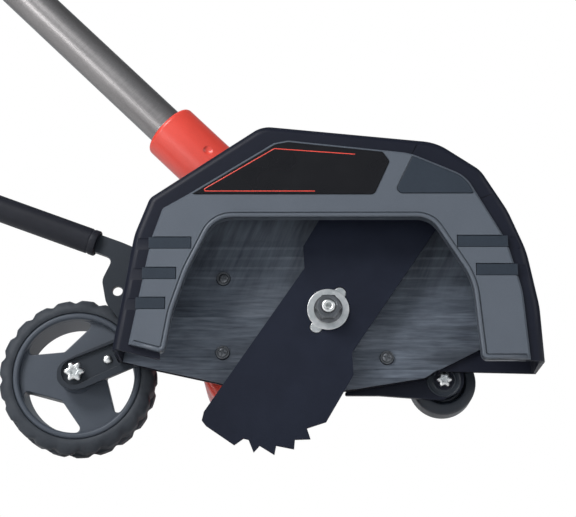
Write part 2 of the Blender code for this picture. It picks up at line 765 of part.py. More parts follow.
def guard():
    shoulder = ((1.0, 0.0), (0.3, 0.3), (0.0, 1.0))
    rings = []
    for inset, deeper in shoulder:
        outline = aside(OUTSIDE, -inset * SHELL_EDGE_ROUND) + UNDERSIDE
        rings.append((outline, SHELL_FACE + deeper * SHELL_EDGE_ROUND))
    rings.append((OUTSIDE + UNDERSIDE, BACK_OUTSIDE))
    shell = solid("guard_shell", drum(rings), BLACK_SHELL)
    inside = below(aside(OUTSIDE, -WALL))
    combine(shell, tool("guard_inside", prism(inside, SHELL_FACE + FRONT_WALL, BACK_INSIDE)))
    window = below(aside(OPENING, LIP_WIDTH + FIT))
    combine(shell, tool("guard_window", prism(window, SHELL_FACE - PAST, SHELL_FACE + FRONT_WALL + PAST)))
    for name, outline in strips(0.0):
        bar = prism(outline, COVER_FACE + STRIP_SUNK, SHELL_FACE + FRONT_WALL / 2)
        combine(shell, tool(f"{name}_bar", bar), "UNION")
    holes = [(HUB, FLANGE_HUB_RADIUS + RUN), (PIVOT, PIVOT_RADIUS + FIT)]
    holes += [(place, PLATE_SCREW_RADIUS + SCREW_PLAY) for place in PLATE_SCREWS]
    for number, (centre, radius) in enumerate(holes):
        hole = prism(circle(centre, radius), BACK_INSIDE - PAST, BACK_OUTSIDE + PAST)
        combine(shell, tool(f"guard_hole_{number}", hole))


def crossing(path, height, side):
    """The place where a path crosses a height on the left (-1) or the right (1) of the guard."""
    found = []
    for one, two in zip(path, path[1:]):
        if min(one[1], two[1]) <= height < max(one[1], two[1]):
            share = (height - one[1]) / (two[1] - one[1])
            found.append(one[0] + share * (two[0] - one[0]))
    return side * max(side * x for x in found)


def strips(play):
    """The five dark bars across the cover, which stop short of its edge and of the window."""
    rows = (("left_strip", -1, STRIP_HEIGHTS_LEFT), ("right_strip", 1, STRIP_HEIGHTS_RIGHT))
    for name, side, heights in rows:
        for number, middle in enumerate(heights, 1):
            outer = crossing(COVER_EDGE, middle, side) + side * STRIP_PAST_EDGE
            inner = crossing(OPENING, middle, side) + side * STRIP_FROM_WINDOW
            left, right = sorted((outer, inner))
            half = STRIP_HEIGHT / 2 + play
            yield f"{name}_{number}", [
                (left - play, middle - half), (right + play, middle - half), (right + play, middle + half),
                (left - play, middle + half),
            ]


def cover():
    outline = COVER_EDGE + OPENING[::-1]
    plate = solid("cover_plate", prism(outline, COVER_FACE, COVER_BACK), GREY_COVER)
    rim = aside(OPENING, LIP_WIDTH) + OPENING[::-1]
    combine(plate, tool("cover_rim", prism(rim, COVER_FACE - LIP_PROUD, COVER_BACK + LIP_DEEP)), "UNION")
    for name, shape in strips(FIT):
        combine(plate, tool(f"{name}_gap", prism(shape, COVER_FACE - PAST, COVER_BACK + PAST)))
    for name, shape in (("label", LABEL), ("panel", PANEL)):
        seat = prism(grown(shape, FIT), COVER_FACE - PAST, COVER_FACE + LABEL_SINK)
        combine(plate, tool(f"{name}_seat", seat))
    back = COVER_FACE + LABEL_SINK - FIT
    solid("label_plate", prism(LABEL, back - LABEL_THICK, back), LABEL_BLACK)
    solid("side_panel", prism(PANEL, back - LABEL_THICK, back), PANEL_GREY)


def liner():
    """The ribbed plate at the back of the blade space, with its four screws."""
    low = aside(UNDERSIDE[::-1], FIT)
    inside = aside(OUTSIDE, -WALL - FIT)
    outline = [p for p in inside if p[1] > low[0][1]] + low[::-1]
    front, back = LINER_FACE - PAST, LINER_BACK + PAST
    plate = solid("back_plate", ridged_sheet(), LINER_BLACK)
    combine(plate, tool("liner_outline", prism(outline, front, back)), "INTERSECT")
    combine(plate, tool("liner_bore", prism(circle(HUB, FLANGE_HUB_RADIUS + RUN), front, back)))
    around_pivot = circle(PIVOT, PIVOT_HEAD_RADIUS + PIVOT_HEAD_ROOM)
    combine(plate, tool("liner_pivot", prism(around_pivot, front, back)))
    seat = LINER_FACE + PLATE_SEAT
    for number, centre in enumerate(PLATE_SCREWS, 1):
        bore = prism(circle(centre, PLATE_SCREW_RADIUS + SCREW_PLAY), front, back)
        combine(plate, tool(f"liner_hole_{number}", bore))
        sink = prism(circle(centre, PLATE_HEAD_RADIUS + FIT), front, seat)
        combine(plate, tool(f"liner_seat_{number}", sink))
        head = (seat - FIT - PLATE_HEAD_THICK, PLATE_HEAD_RADIUS, PLATE_HEAD_THICK)
        cross_screw(f"plate_screw_{number}", centre, *head, PLATE_SCREW_RADIUS, BACK_OUTSIDE)


def ridged_sheet():
    """A sheet across the whole guard whose face steps in and out in level ridges."""
    edge = [(LINER_BACK, SHEET_REACH), (LINER_BACK, -SHEET_REACH), (LINER_FACE, -SHEET_REACH)]
    for k in range(RIDGE_COUNT):
        z = RIDGE_START + k * RIDGE_PITCH
        edge += [(LINER_FACE, z + RIDGE_PITCH * 0.5), (LINER_FACE - RIDGE_HEIGHT, z + RIDGE_PITCH * 0.75)]
        edge += [(LINER_FACE, z + RIDGE_PITCH)]
    edge.append((LINER_FACE, SHEET_REACH))
    bm = bmesh.new()
    one = [bm.verts.new((-SHEET_REACH, y, z)) for y, z in edge]
    two = [bm.verts.new((SHEET_REACH, y, z)) for y, z in edge]
    bm.faces.new(one)
    bm.faces.new(two[::-1])
    for i in range(len(edge)):
        bm.faces.new((one[i], one[i - 1], two[i - 1], two[i]))
    return bm


def blade_point(along, across):
    down = Vector(polar(BLADE_LEAN + 180.0, along))
    return tuple(down + Vector(polar(BLADE_LEAN - 90.0, across)))


def cutter():
    """The blade and all that turns with it."""
    pivot = (0, 0, 0)
    half = blade_half()
    shape = [blade_point(a, p) for a, p in half] + [blade_point(-a, -p) for a, p in half]
    blade = solid("blade", prism(shape, -BLADE_THICK / 2, BLADE_THICK / 2), BLADE_BLACK, pivot=pivot)
    through = (-BLADE_THICK / 2 - PAST, BLADE_THICK / 2 + PAST)
    combine(blade, tool("blade_bore", prism(circle(HUB, SPINDLE_RADIUS + FIT), *through)))
    lugs = [polar(BLADE_LEAN, side * LUG_REACH) for side in (1, -1)]
    for number, centre in enumerate(lugs, 1):
        notch = prism(circle(centre, LUG_RADIUS + LUG_PLAY, 20), *through)
        combine(blade, tool(f"blade_notch_{number}", notch))

    flange_back = FLANGE_FACE + FLANGE_THICK
    bore = SPINDLE_RADIUS + FIT
    end = CASE_FRONT - RUN
    profile = [
        (bore, FLANGE_FACE), (FLANGE_RADIUS, FLANGE_FACE), (FLANGE_RADIUS, flange_back),
        (FLANGE_HUB_RADIUS, flange_back + FLANGE_CONE), (FLANGE_HUB_RADIUS, end - FLANGE_STEP),
        (bore + FLANGE_NOSE, end - FLANGE_STEP), (bore + FLANGE_NOSE, end), (bore, end),
    ]
    flange = solid("inner_flange", spun(profile, steps=24, closed=True), STEEL)
    for number, centre in enumerate(lugs, 1):
        lug = prism(circle(centre, LUG_RADIUS, 18), BLADE_FACE, FLANGE_FACE + FLANGE_THICK / 2)
        combine(flange, tool(f"flange_lug_{number}", lug), "UNION")

    washer = ring_profile(THREAD_RADIUS + FIT, WASHER_RADIUS, WASHER_FACE, WASHER_BACK)
    solid("outer_washer", spun(washer, steps=28, closed=True), STEEL)
    hexagon = circle(HUB, NUT_ACROSS / math.sqrt(3), 6)
    nut = solid("flange_nut", prism(hexagon, NUT_FACE, NUT_BACK - NUT_FLANGE_THICK / 2), DARK_STEEL)
    narrow = NUT_BACK - NUT_FLANGE_THICK * 1.6
    skirt = [
        (0, narrow), (NUT_FLANGE_RADIUS * 0.85, narrow), (NUT_FLANGE_RADIUS, NUT_BACK - NUT_FLANGE_THICK * 0.6),
        (NUT_FLANGE_RADIUS, NUT_BACK), (0, NUT_BACK),
    ]
    combine(nut, tool("nut_skirt", spun(skirt, steps=20)), "UNION")
    bore = prism(circle(HUB, THREAD_RADIUS + FIT, 24), NUT_FACE - PAST, NUT_BACK + PAST)
    combine(nut, tool("nut_bore", bore))

    floor = SPINDLE_FACE + SPINDLE_CENTRE_DEPTH
    profile = [
        (0, floor + 0.8), (SPINDLE_CENTRE_RADIUS, floor), (SPINDLE_CENTRE_RADIUS, SPINDLE_FACE),
        (THREAD_RADIUS - 0.6, SPINDLE_FACE),
        (THREAD_RADIUS, SPINDLE_FACE + 0.6), (THREAD_RADIUS, BLADE_FACE), (SPINDLE_RADIUS, BLADE_FACE),
        (SPINDLE_RADIUS, SPINDLE_END), (0, SPINDLE_END),
    ]
    solid("spindle", spun(profile, steps=20), STEEL)


def bearing(name, front):
    """A sealed ball bearing, with the grooves of its seals."""
    inner = SPINDLE_RADIUS + FIT
    outer = BEARING_RADIUS
    back = front + BEARING_WIDTH
    third = (outer - inner) / 3
    profile = [
        (inner, front), (inner + third, front), (inner + third, front + BEARING_GROOVE),
        (outer - third, front + BEARING_GROOVE), (outer - third, front), (outer, front), (outer, back),
        (outer - third, back), (outer - third, back - BEARING_GROOVE), (inner + third, back - BEARING_GROOVE),
        (inner + third, back), (inner, back),
    ]
    solid(name, spun(profile, steps=16, closed=True), STEEL)


def gears():
    bearing("front_bearing", BEARING_FRONT)
    bearing("rear_bearing", REAR_BEARING)
    lean = math.radians(MOTOR_LEAN)
    back = GEAR_FRONT + GEAR_WIDTH
    teeth = gear_outline(GEAR_TEETH, GEAR_MODULE, lean)
    wheel = solid("spindle_gear", prism(teeth, GEAR_FRONT, back), STEEL)
    bore = prism(circle(HUB, SPINDLE_RADIUS + FIT), GEAR_FRONT - PAST, back + PAST)
    combine(wheel, tool("gear_bore", bore))
    facing = lean + math.pi + math.pi / PINION_TEETH
    small = gear_outline(PINION_TEETH, GEAR_MODULE, facing)
    small = [(x + MOTOR_AXIS[0], z + MOTOR_AXIS[1]) for x, z in small]
    pivot = (MOTOR_AXIS[0], 0, MOTOR_AXIS[1])
    pinion = solid("motor_pinion", prism(small, GEAR_FRONT, back), STEEL, pivot=pivot)
    hole = SHAFT_RADIUS + FIT
    combine(pinion, tool("pinion_bore", prism(circle(MOTOR_AXIS, hole), GEAR_FRONT - PAST, back + PAST)))
    back = MOTOR_FRONT + MOTOR_LENGTH
    core_front = MOTOR_FRONT + ROTOR_END_GAP
    core_back = back - ROTOR_END_GAP
    tip = GEAR_FRONT - GEAR_ROOM / 2
    profile = [
        (0, tip), (SHAFT_RADIUS, tip), (SHAFT_RADIUS, core_front),
        (ROTOR_RADIUS, core_front), (ROTOR_RADIUS, core_back), (SHAFT_RADIUS, core_back),
        (SHAFT_RADIUS, SHAFT_END), (0, SHAFT_END),
    ]
    solid("motor_rotor", spun(profile, MOTOR_AXIS, 16), DARK_STEEL, pivot=pivot)
    inner = MOTOR_RADIUS - MOTOR_WALL
    profile = [
        (hole, MOTOR_FRONT), (MOTOR_RADIUS, MOTOR_FRONT), (MOTOR_RADIUS, back), (hole, back),
        (hole, back - MOTOR_END_WALL), (inner, back - MOTOR_END_WALL), (inner, MOTOR_FRONT + MOTOR_END_WALL),
        (hole, MOTOR_FRONT + MOTOR_END_WALL),
    ]
    solid("motor_can", spun(profile, MOTOR_AXIS, 18, closed=True), STEEL)


def case():
    """The gear case in two halves, with the neck that holds the tube, and the red motor barrel."""
    outline = belt(HUB, CASE_RADIUS, MOTOR_AXIS, CASE_MOTOR_RADIUS)
    body = solid("gear_case", prism(outline, CASE_FRONT, CASE_BACK), BLACK_SHELL)
    arm_half = NECK_RADIUS + NECK_ARM_WIDER
    arm = box((0, TUBE_DEPTH - CASE_BACK + FIT, -arm_half),
              (NECK_START + NECK_ARM_LAP, TUBE_DEPTH - CASE_FRONT - FIT, arm_half))
    combine(body, tool("case_arm", arm, TUBE), "UNION")
    room = belt(HUB, GEAR_HOLLOW, MOTOR_AXIS, PINION_HOLLOW)
    combine(body, tool("gear_room", prism(room, GEAR_FRONT - GEAR_ROOM_AHEAD, CASE_BACK + PAST)))
    seat = prism(circle(HUB, BEARING_RADIUS + FIT, 24), BEARING_FRONT - FIT, GEAR_FRONT)
    combine(body, tool("front_bearing_seat", seat))
    bore = prism(circle(HUB, SPINDLE_RADIUS + RUN), CASE_FRONT - PAST, BEARING_FRONT + PAST)
    combine(body, tool("case_bore", bore))
    seat = TUBE_RADIUS + FIT
    profile = [
        (0, NECK_START), (NECK_RADIUS, NECK_START), (NECK_RADIUS, NECK_END), (seat, NECK_END),
        (seat, TUBE_START), (0, TUBE_START),
    ]
    combine(body, tool("case_neck", spun(profile, axis="X"), TUBE), "UNION")

    lid = solid("gear_case_lid", prism(outline, LID_FRONT, LID_BACK), BLACK_SHELL)
    seat = prism(circle(HUB, BEARING_RADIUS + FIT, 24), LID_FRONT - PAST, REAR_BEARING + BEARING_WIDTH + FIT)
    combine(lid, tool("rear_bearing_seat", seat))
    shaft_hole = prism(circle(MOTOR_AXIS, SHAFT_RADIUS + SHAFT_ROOM), LID_FRONT - PAST, LID_BACK + PAST)
    combine(lid, tool("lid_bore", shaft_hole))
    for number, angle in enumerate(CASE_SCREW_ANGLES, 1):
        centre = polar(angle, CASE_RADIUS - CASE_SCREW_INSET)
        round_hole = circle(centre, CASE_SCREW_RADIUS + SCREW_PLAY)
        drill = tool(f"case_hole_{number}", prism(round_hole, CASE_FRONT + CASE_SCREW_LEFT, LID_BACK + PAST))
        combine(body, drill)
        combine(lid, drill)
        case_screw(f"case_screw_{number}", centre)


def barrel():
    """The red barrel around the motor, and its vented end cap."""
    sleeve = MOTOR_RADIUS + FIT
    front = BARREL_FRONT
    wall = BARREL_WALL
    hole = SHAFT_RADIUS + MOTOR_SHAFT_ROOM
    inside = BARREL_RADIUS - wall
    seat_end = front + MOTOR_SEAT_LENGTH
    profile = [
        (hole, front), (BARREL_RADIUS - BARREL_EDGE, front), (BARREL_RADIUS, front + BARREL_EDGE),
        (BARREL_RADIUS, BARREL_BACK), (inside, BARREL_BACK), (inside, front + wall), (sleeve + wall, front + wall),
        (sleeve + wall, seat_end), (sleeve, seat_end), (sleeve, front + wall), (hole, front + wall),
    ]
    solid("motor_cover", spun(profile, MOTOR_AXIS, 28, closed=True), RED)
    cap_front = BARREL_BACK + FIT
    cap_back = cap_front + CAP_THICK
    plug = inside - FIT
    plug_end = BARREL_BACK - CAP_PLUG
    profile = [
        (0, plug_end), (plug, plug_end), (plug, cap_front), (BARREL_RADIUS, cap_front),
        (BARREL_RADIUS, cap_back - CAP_THICK / 2), (inside, cap_back), (0, cap_back),
    ]
    cap = solid("motor_end_cap", spun(profile, MOTOR_AXIS, 28), BLACK_SHELL)
    for k in range(VENTS):
        z = MOTOR_AXIS[1] + (k - (VENTS - 1) / 2) * VENT_PITCH
        low = (MOTOR_AXIS[0] - VENT_LENGTH / 2, plug_end - PAST, z - VENT_HEIGHT / 2)
        high = (MOTOR_AXIS[0] + VENT_LENGTH / 2, cap_back + PAST, z + VENT_HEIGHT / 2)
        combine(cap, tool(f"vent_{k}", box(low, high)))


def case_screw(name, centre):
    """A screw put in from the motor side, through the lid into the case."""
    head = LID_BACK + FIT
    tip = CASE_FRONT + CASE_SCREW_LEFT + FIT
    top = head + CASE_SCREW_HEAD_THICK
    profile = [
        (0, tip), (CASE_SCREW_RADIUS, tip), (CASE_SCREW_RADIUS, head), (CASE_SCREW_HEAD_RADIUS, head),
        (CASE_SCREW_HEAD_RADIUS, top - 0.8), (CASE_SCREW_HEAD_RADIUS - 0.8, top), (0, top),
    ]
    solid(name, spun(profile, centre, 16), DARK_STEEL)


def tubes():
    inner = TUBE_RADIUS + FIT
    loose = NECK_RADIUS + FIT
    outer = loose + COLLAR_WALL
    start = NECK_END - COLLAR_LAP
    end = start + COLLAR_LENGTH
    step = NECK_END + COLLAR_STEP
    profile = [
        (loose, start), (outer - 0.8, start), (outer, start + COLLAR_TAPER), (outer, end - COLLAR_TAPER),
        (outer - 0.6, end - COLLAR_TAPER / 3), (outer - COLLAR_WALL, end), (inner, end), (inner, step),
        (loose, step),
    ]
    solid("tube_collar", spun(profile, steps=24, closed=True, axis="X"), RED, TUBE)
    profile = ring_profile(TUBE_RADIUS - TUBE_WALL, TUBE_RADIUS, TUBE_START + FIT, TUBE_END)
    solid("lower_tube", spun(profile, steps=24, closed=True, axis="X"), ALUMINIUM, TUBE)
    last = HANDLE_START + SOCKET_DEPTH - FIT
    profile = ring_profile(UPPER_RADIUS - UPPER_WALL, UPPER_RADIUS, TUBE_END - TUBE_LAP, last)
    solid("upper_tube", spun(profile, steps=20, closed=True, axis="X"), ALUMINIUM, TUBE)


def clamp():
    """The sleeve that grips the upper tube, with its cam lever and pin."""
    grip = UPPER_RADIUS + FIT
    outer = TUBE_RADIUS + FIT
    radius = outer + CLAMP_WALL
    start = TUBE_END - CLAMP_ON_LOWER
    end = TUBE_END + CLAMP_ON_UPPER
    profile = [
        (outer, start), (radius - 2, start), (radius, start + 3), (radius, end - 3), (radius - 2, end),
        (grip, end), (grip, TUBE_END + FIT), (outer, TUBE_END + FIT),
    ]
    body = solid("tube_clamp", spun(profile, steps=24, closed=True, axis="X"), BLACK_SHELL, TUBE)
    pin_x = start + LEVER_PIN_INSET
    pin_z = -radius - LEVER_PIN_BELOW
    inner_face = LEVER_HALF_WIDTH + RUN
    outer_face = inner_face + LEVER_EAR_THICK
    for side in (1, -1):
        low, high = sorted((side * inner_face, side * outer_face))
        ear = box((pin_x - LEVER_EAR_HALF, low, pin_z - LEVER_PIN_RADIUS * 2),
                  (pin_x + LEVER_EAR_HALF, high, -outer - 2.0))
        combine(body, tool(f"clamp_ear_{side + 1}", ear, TUBE), "UNION")
    bore = prism(circle((pin_x, pin_z), LEVER_PIN_RADIUS + FIT), -outer_face - PAST, outer_face + PAST)
    drill = tool("clamp_pin_bore", bore, TUBE)
    combine(body, drill)
    reach = outer_face + LEVER_PIN_PROUD
    profile = [(0, -reach), (LEVER_PIN_RADIUS, -reach), (LEVER_PIN_RADIUS, reach), (0, reach)]
    solid("clamp_pin", spun(profile, (pin_x, pin_z), 16), STEEL, TUBE)
    top = -radius - LEVER_UNDER_SLEEVE
    outline = rounded([
        (pin_x - LEVER_CAM, pin_z - LEVER_CAM - 0.5, LEVER_CAM), (pin_x - LEVER_CAM, top, LEVER_CAM),
        (end - 10, top, 3), (end + LEVER_TAIL, top - 4, 2), (end + LEVER_TAIL - 1, top - 10, 2),
        (pin_x + LEVER_CAM * 4, pin_z - LEVER_CAM / 2, LEVER_CAM * 2),
    ], 3)
    lever_body = prism(outline, -LEVER_HALF_WIDTH, LEVER_HALF_WIDTH)
    lever = solid("clamp_lever", lever_body, RED, TUBE, (pin_x, 0, pin_z))
    combine(lever, drill)


def loop():
    """The loop handle, its bracket on the upper tube, and the bolt and knob that hold its tilt."""
    inner = UPPER_RADIUS + FIT
    ring = ring_profile(inner, inner + BRACKET_WALL, LOOP_AT - BRACKET_HALF, LOOP_AT + BRACKET_HALF)
    bracket = solid("loop_bracket", spun(ring, closed=True, axis="X"), BLACK_SHELL, TUBE)
    pivot = (LOOP_AT, LOOP_PIVOT_HEIGHT)
    pivot_place = (LOOP_AT, 0, LOOP_PIVOT_HEIGHT)
    half = BRACKET_EAR_REACH
    low, high = inner + BRACKET_WALL / 5, LOOP_PIVOT_HEIGHT + half
    left, right = LOOP_AT - half - 1, LOOP_AT + half + 1
    outline = rounded([(left, low, 0), (left, high, half), (right, high, half), (right, low, 0)])
    ear = prism(outline, -EAR_HALF, EAR_HALF)
    combine(bracket, tool("loop_ear", ear, TUBE), "UNION")
    reach = EAR_HALF + FIT + 2 * LOOP_BAR_RADIUS
    bore = prism(circle(pivot, LOOP_BOLT_RADIUS + FIT, 12), -reach - PAST, reach + PAST)
    drill = tool("loop_bolt_bore", bore, TUBE)
    combine(bracket, drill)

    leg = EAR_HALF + FIT + LOOP_BAR_RADIUS
    foot = LOOP_PIVOT_HEIGHT - LOOP_FOOT
    shoulder = LOOP_PIVOT_HEIGHT + LOOP_SHOULDER
    top = LOOP_PIVOT_HEIGHT + LOOP_HEIGHT
    low = (LOOP_HALF_WIDTH, shoulder + LOOP_SHOULDER_RISE, LOOP_SIDE_ROUND)
    high = (LOOP_HALF_WIDTH - LOOP_NARROWER, top, LOOP_TOP_ROUND)
    right = [high, low, (leg, shoulder, LOOP_SHOULDER_ROUND), (leg, foot, 0)]
    path = rounded([(-y, z, rounding) for y, z, rounding in right[::-1]] + right, 4)
    bar = swept([(LOOP_AT, y, z) for y, z in path], LOOP_BAR_RADIUS, 12)
    handle = solid("loop_handle", bar, BLACK_SHELL, TUBE, pivot_place)
    combine(handle, drill)
    seat = -reach - FIT
    head = seat - LOOP_BOLT_HEAD_THICK
    near = reach + FIT
    bolt_end = near + KNOB_SOCKET - 2 * RUN
    profile = [
        (0, head), (LOOP_BOLT_HEAD_RADIUS, head), (LOOP_BOLT_HEAD_RADIUS, seat), (LOOP_BOLT_RADIUS, seat),
        (LOOP_BOLT_RADIUS, bolt_end), (0, bolt_end),
    ]
    solid("loop_bolt", spun(profile, pivot, 18), DARK_STEEL, TUBE, pivot_place)
    outline = []
    for k in range(KNOB_LOBES * 5):
        radius = KNOB_RADIUS + (KNOB_LOBE if k % 5 < 3 else 0.0)
        point = polar(360 * k / (KNOB_LOBES * 5), radius)
        outline.append((pivot[0] + point[0], pivot[1] + point[1]))
    knob = solid("loop_knob", prism(outline, near, near + KNOB_THICK), BLACK_SHELL, TUBE, pivot_place)
    socket = prism(circle(pivot, LOOP_BOLT_RADIUS + FIT, 12), near - PAST, near + KNOB_SOCKET)
    combine(knob, tool("knob_bore", socket, TUBE))


def handle():
    """The rear handle: two shells around the tube's end, the trigger, its lock and the battery rail."""
    start, end = HANDLE_START, HANDLE_END
    socket = UPPER_RADIUS + FIT
    nose_top = socket + NOSE_WALL
    nose_under = -socket - NOSE_WALL - 1.0
    knuckle = start + TRIGGER_FROM_START
    outline = rounded([
        (start, nose_under, 5), (start, nose_top, 5), (start + NOSE_LENGTH + 4, GRIP_TOP, 20),
        (end - REAR_LENGTH, GRIP_TOP, 24), (end - REAR_STEP, REAR_TOP, 8), (end, REAR_TOP, 5),
        (end, FOOT_UNDER + 2, 5), (end - REAR_STEP - 4, FOOT_UNDER - 2, 10), (knuckle - 4, FOOT_UNDER, 22),
        (start + WINDOW_FROM_START - 10, KNUCKLE_UNDER + 6, 16), (start + NOSE_LENGTH, nose_under - 2, 10),
    ], 3)
    window = rounded([
        (start + WINDOW_FROM_START, GRIP_UNDER, 8), (end - WINDOW_FROM_END, GRIP_UNDER, 10),
        (end - WINDOW_FROM_END + 10, KNUCKLE_UNDER + 2, 10), (knuckle, KNUCKLE_UNDER, 12),
    ], 3)
    rear_front = end - REAR_STEP - CONTACT_DEEP
    rear_back = end - CONTACT_DEEP - 4.0
    rear_high = REAR_TOP - 10.0
    rear_low = FOOT_UNDER + 14.0
    rear_room = rounded([
        (rear_front, 10, 0), (rear_front, 18, 3), (end - REAR_STEP, rear_high, 3), (rear_back, rear_high, 2),
        (rear_back, rear_low, 3), (rear_front, rear_low, 3), (rear_front, -20, 0),
    ], 2)
    tube_end = start + SOCKET_DEPTH
    socket_profile = [(0, start - PAST), (socket, start - PAST), (socket, tube_end), (0, tube_end)]
    across = HANDLE_HALF + PAST
    pin_reach = TRUNNION_HALF + FIT
    lock_half = LOCK_HALF_LENGTH + RUN
    trigger_top = TRIGGER_HEIGHT + TRIGGER_ROOM_ABOVE
    pin = circle((TRIGGER_PIVOT, TRIGGER_HEIGHT), TRUNNION_RADIUS + FIT, 14)
    cuts = [
        tool("finger_gap", prism(window, -across, across), TUBE),
        tool("tube_socket", spun(socket_profile, steps=20, axis="X"), TUBE),
        space("trigger_room", (TRIGGER_PIVOT - 6, TRIGGER_END + 2), TRIGGER_HALF + RUN,
              (GRIP_UNDER - PAST, trigger_top)),
        space("switch_room", (SWITCH_AT - FIT, SWITCH_AT + SWITCH_LENGTH + FIT), SWITCH_HALF_WIDTH + FIT,
              (-SWITCH_HALF_HEIGHT - FIT, SWITCH_HALF_HEIGHT + FIT)),
        space("lock_room", (LOCK_AT - lock_half, LOCK_AT + lock_half), LOCK_HALF_WIDTH + RUN,
              (LOCK_FLOOR, GRIP_TOP + LOCK_PROUD + PAST)),
        space("lock_step", (LOCK_AT - LOCK_HALF_LENGTH - PAST, LOCK_AT + LOCK_HALF_LENGTH + PAST),
              LOCK_HALF_WIDTH + LOCK_FLANGE + RUN, (LOCK_FLOOR, GRIP_TOP - LOCK_ROOF)),
        tool("pin_bore", prism(pin, -pin_reach, pin_reach), TUBE),
        space("contact_room", (end - CONTACT_DEEP - FIT, end + RAIL_NECK + RAIL_HEAD + PAST), CONTACT_HALF + FIT,
              (-CONTACT_HEIGHT - FIT, CONTACT_HEIGHT + FIT)),
        tool("rear_room", prism(rear_room, -HANDLE_HALF + WALL, HANDLE_HALF - WALL), TUBE),
    ]
    for side, name in ((1, "handle_shell_right"), (-1, "handle_shell_left")):
        rings = [(outline, side * FIT / 2), (outline, side * (HANDLE_HALF - HANDLE_ROUND))]
        rings.append((grown(outline, -HANDLE_ROUND * 0.3), side * (HANDLE_HALF - HANDLE_ROUND * 0.3)))
        rings.append((grown(outline, -HANDLE_ROUND), side * HANDLE_HALF))
        shell = solid(name, drum(rings), BLACK_SHELL, TUBE)
        rail_parts = (
            ("neck", RAIL_NECK_HALF, end - PAST, end + RAIL_NECK + 1),
            ("head", RAIL_HEAD_HALF, end + RAIL_NECK, end + RAIL_NECK + RAIL_HEAD),
        )
        for part, half, front, back in rail_parts:
            inner, outer = sorted((side * FIT / 2, side * half))
            rail = box((front, inner, RAIL_LOW), (back, outer, RAIL_HIGH))
            combine(shell, tool(f"rail_{part}_{side + 1}", rail, TUBE), "UNION")
        for shape in cuts:
            combine(shell, shape)
        for number, place in enumerate(handle_screw_places(), 1):
            combine(shell, handle_drill(number, place, side))
    for number, place in enumerate(handle_screw_places(), 1):
        face = -HANDLE_HALF + HANDLE_HEAD_SINK
        depth = HANDLE_HALF - HANDLE_SCREW_LEFT - FIT
        head = (face, HANDLE_HEAD_RADIUS, HANDLE_HEAD_THICK)
        cross_screw(f"handle_screw_{number}", place, *head, HANDLE_SCREW_RADIUS, depth, TUBE)
    controls()
    soft_grip()
    battery()


def space(name, along, half, heights):
    """An empty space inside both shells: its reach along the tube, half its width and its heights."""
    return tool(name, box((along[0], -half, heights[0]), (along[1], half, heights[1])), TUBE)


def handle_screw_places():
    front = (HANDLE_START + SCREW_FROM_START, GRIP_UNDER - SCREW_UNDER_GRIP)
    return front, (HANDLE_END - SCREW_FROM_END, FOOT_UNDER + SCREW_OVER_FOOT)


def handle_drill(number, place, side):
    """A screw hole through both shells, with a sunk seat for the head on the left."""
    depth = HANDLE_HALF - HANDLE_SCREW_LEFT
    seat = -HANDLE_HALF + HANDLE_HEAD_SINK + HANDLE_HEAD_THICK + FIT
    wide = HANDLE_HEAD_RADIUS + FIT
    bore = HANDLE_SCREW_RADIUS + SCREW_PLAY
    outside = -HANDLE_HALF - PAST
    profile = [(0, outside), (wide, outside), (wide, seat), (bore, seat), (bore, depth), (0, depth)]
    return tool(f"handle_drill_{number}_{side + 1}", spun(profile, place, 16), TUBE)


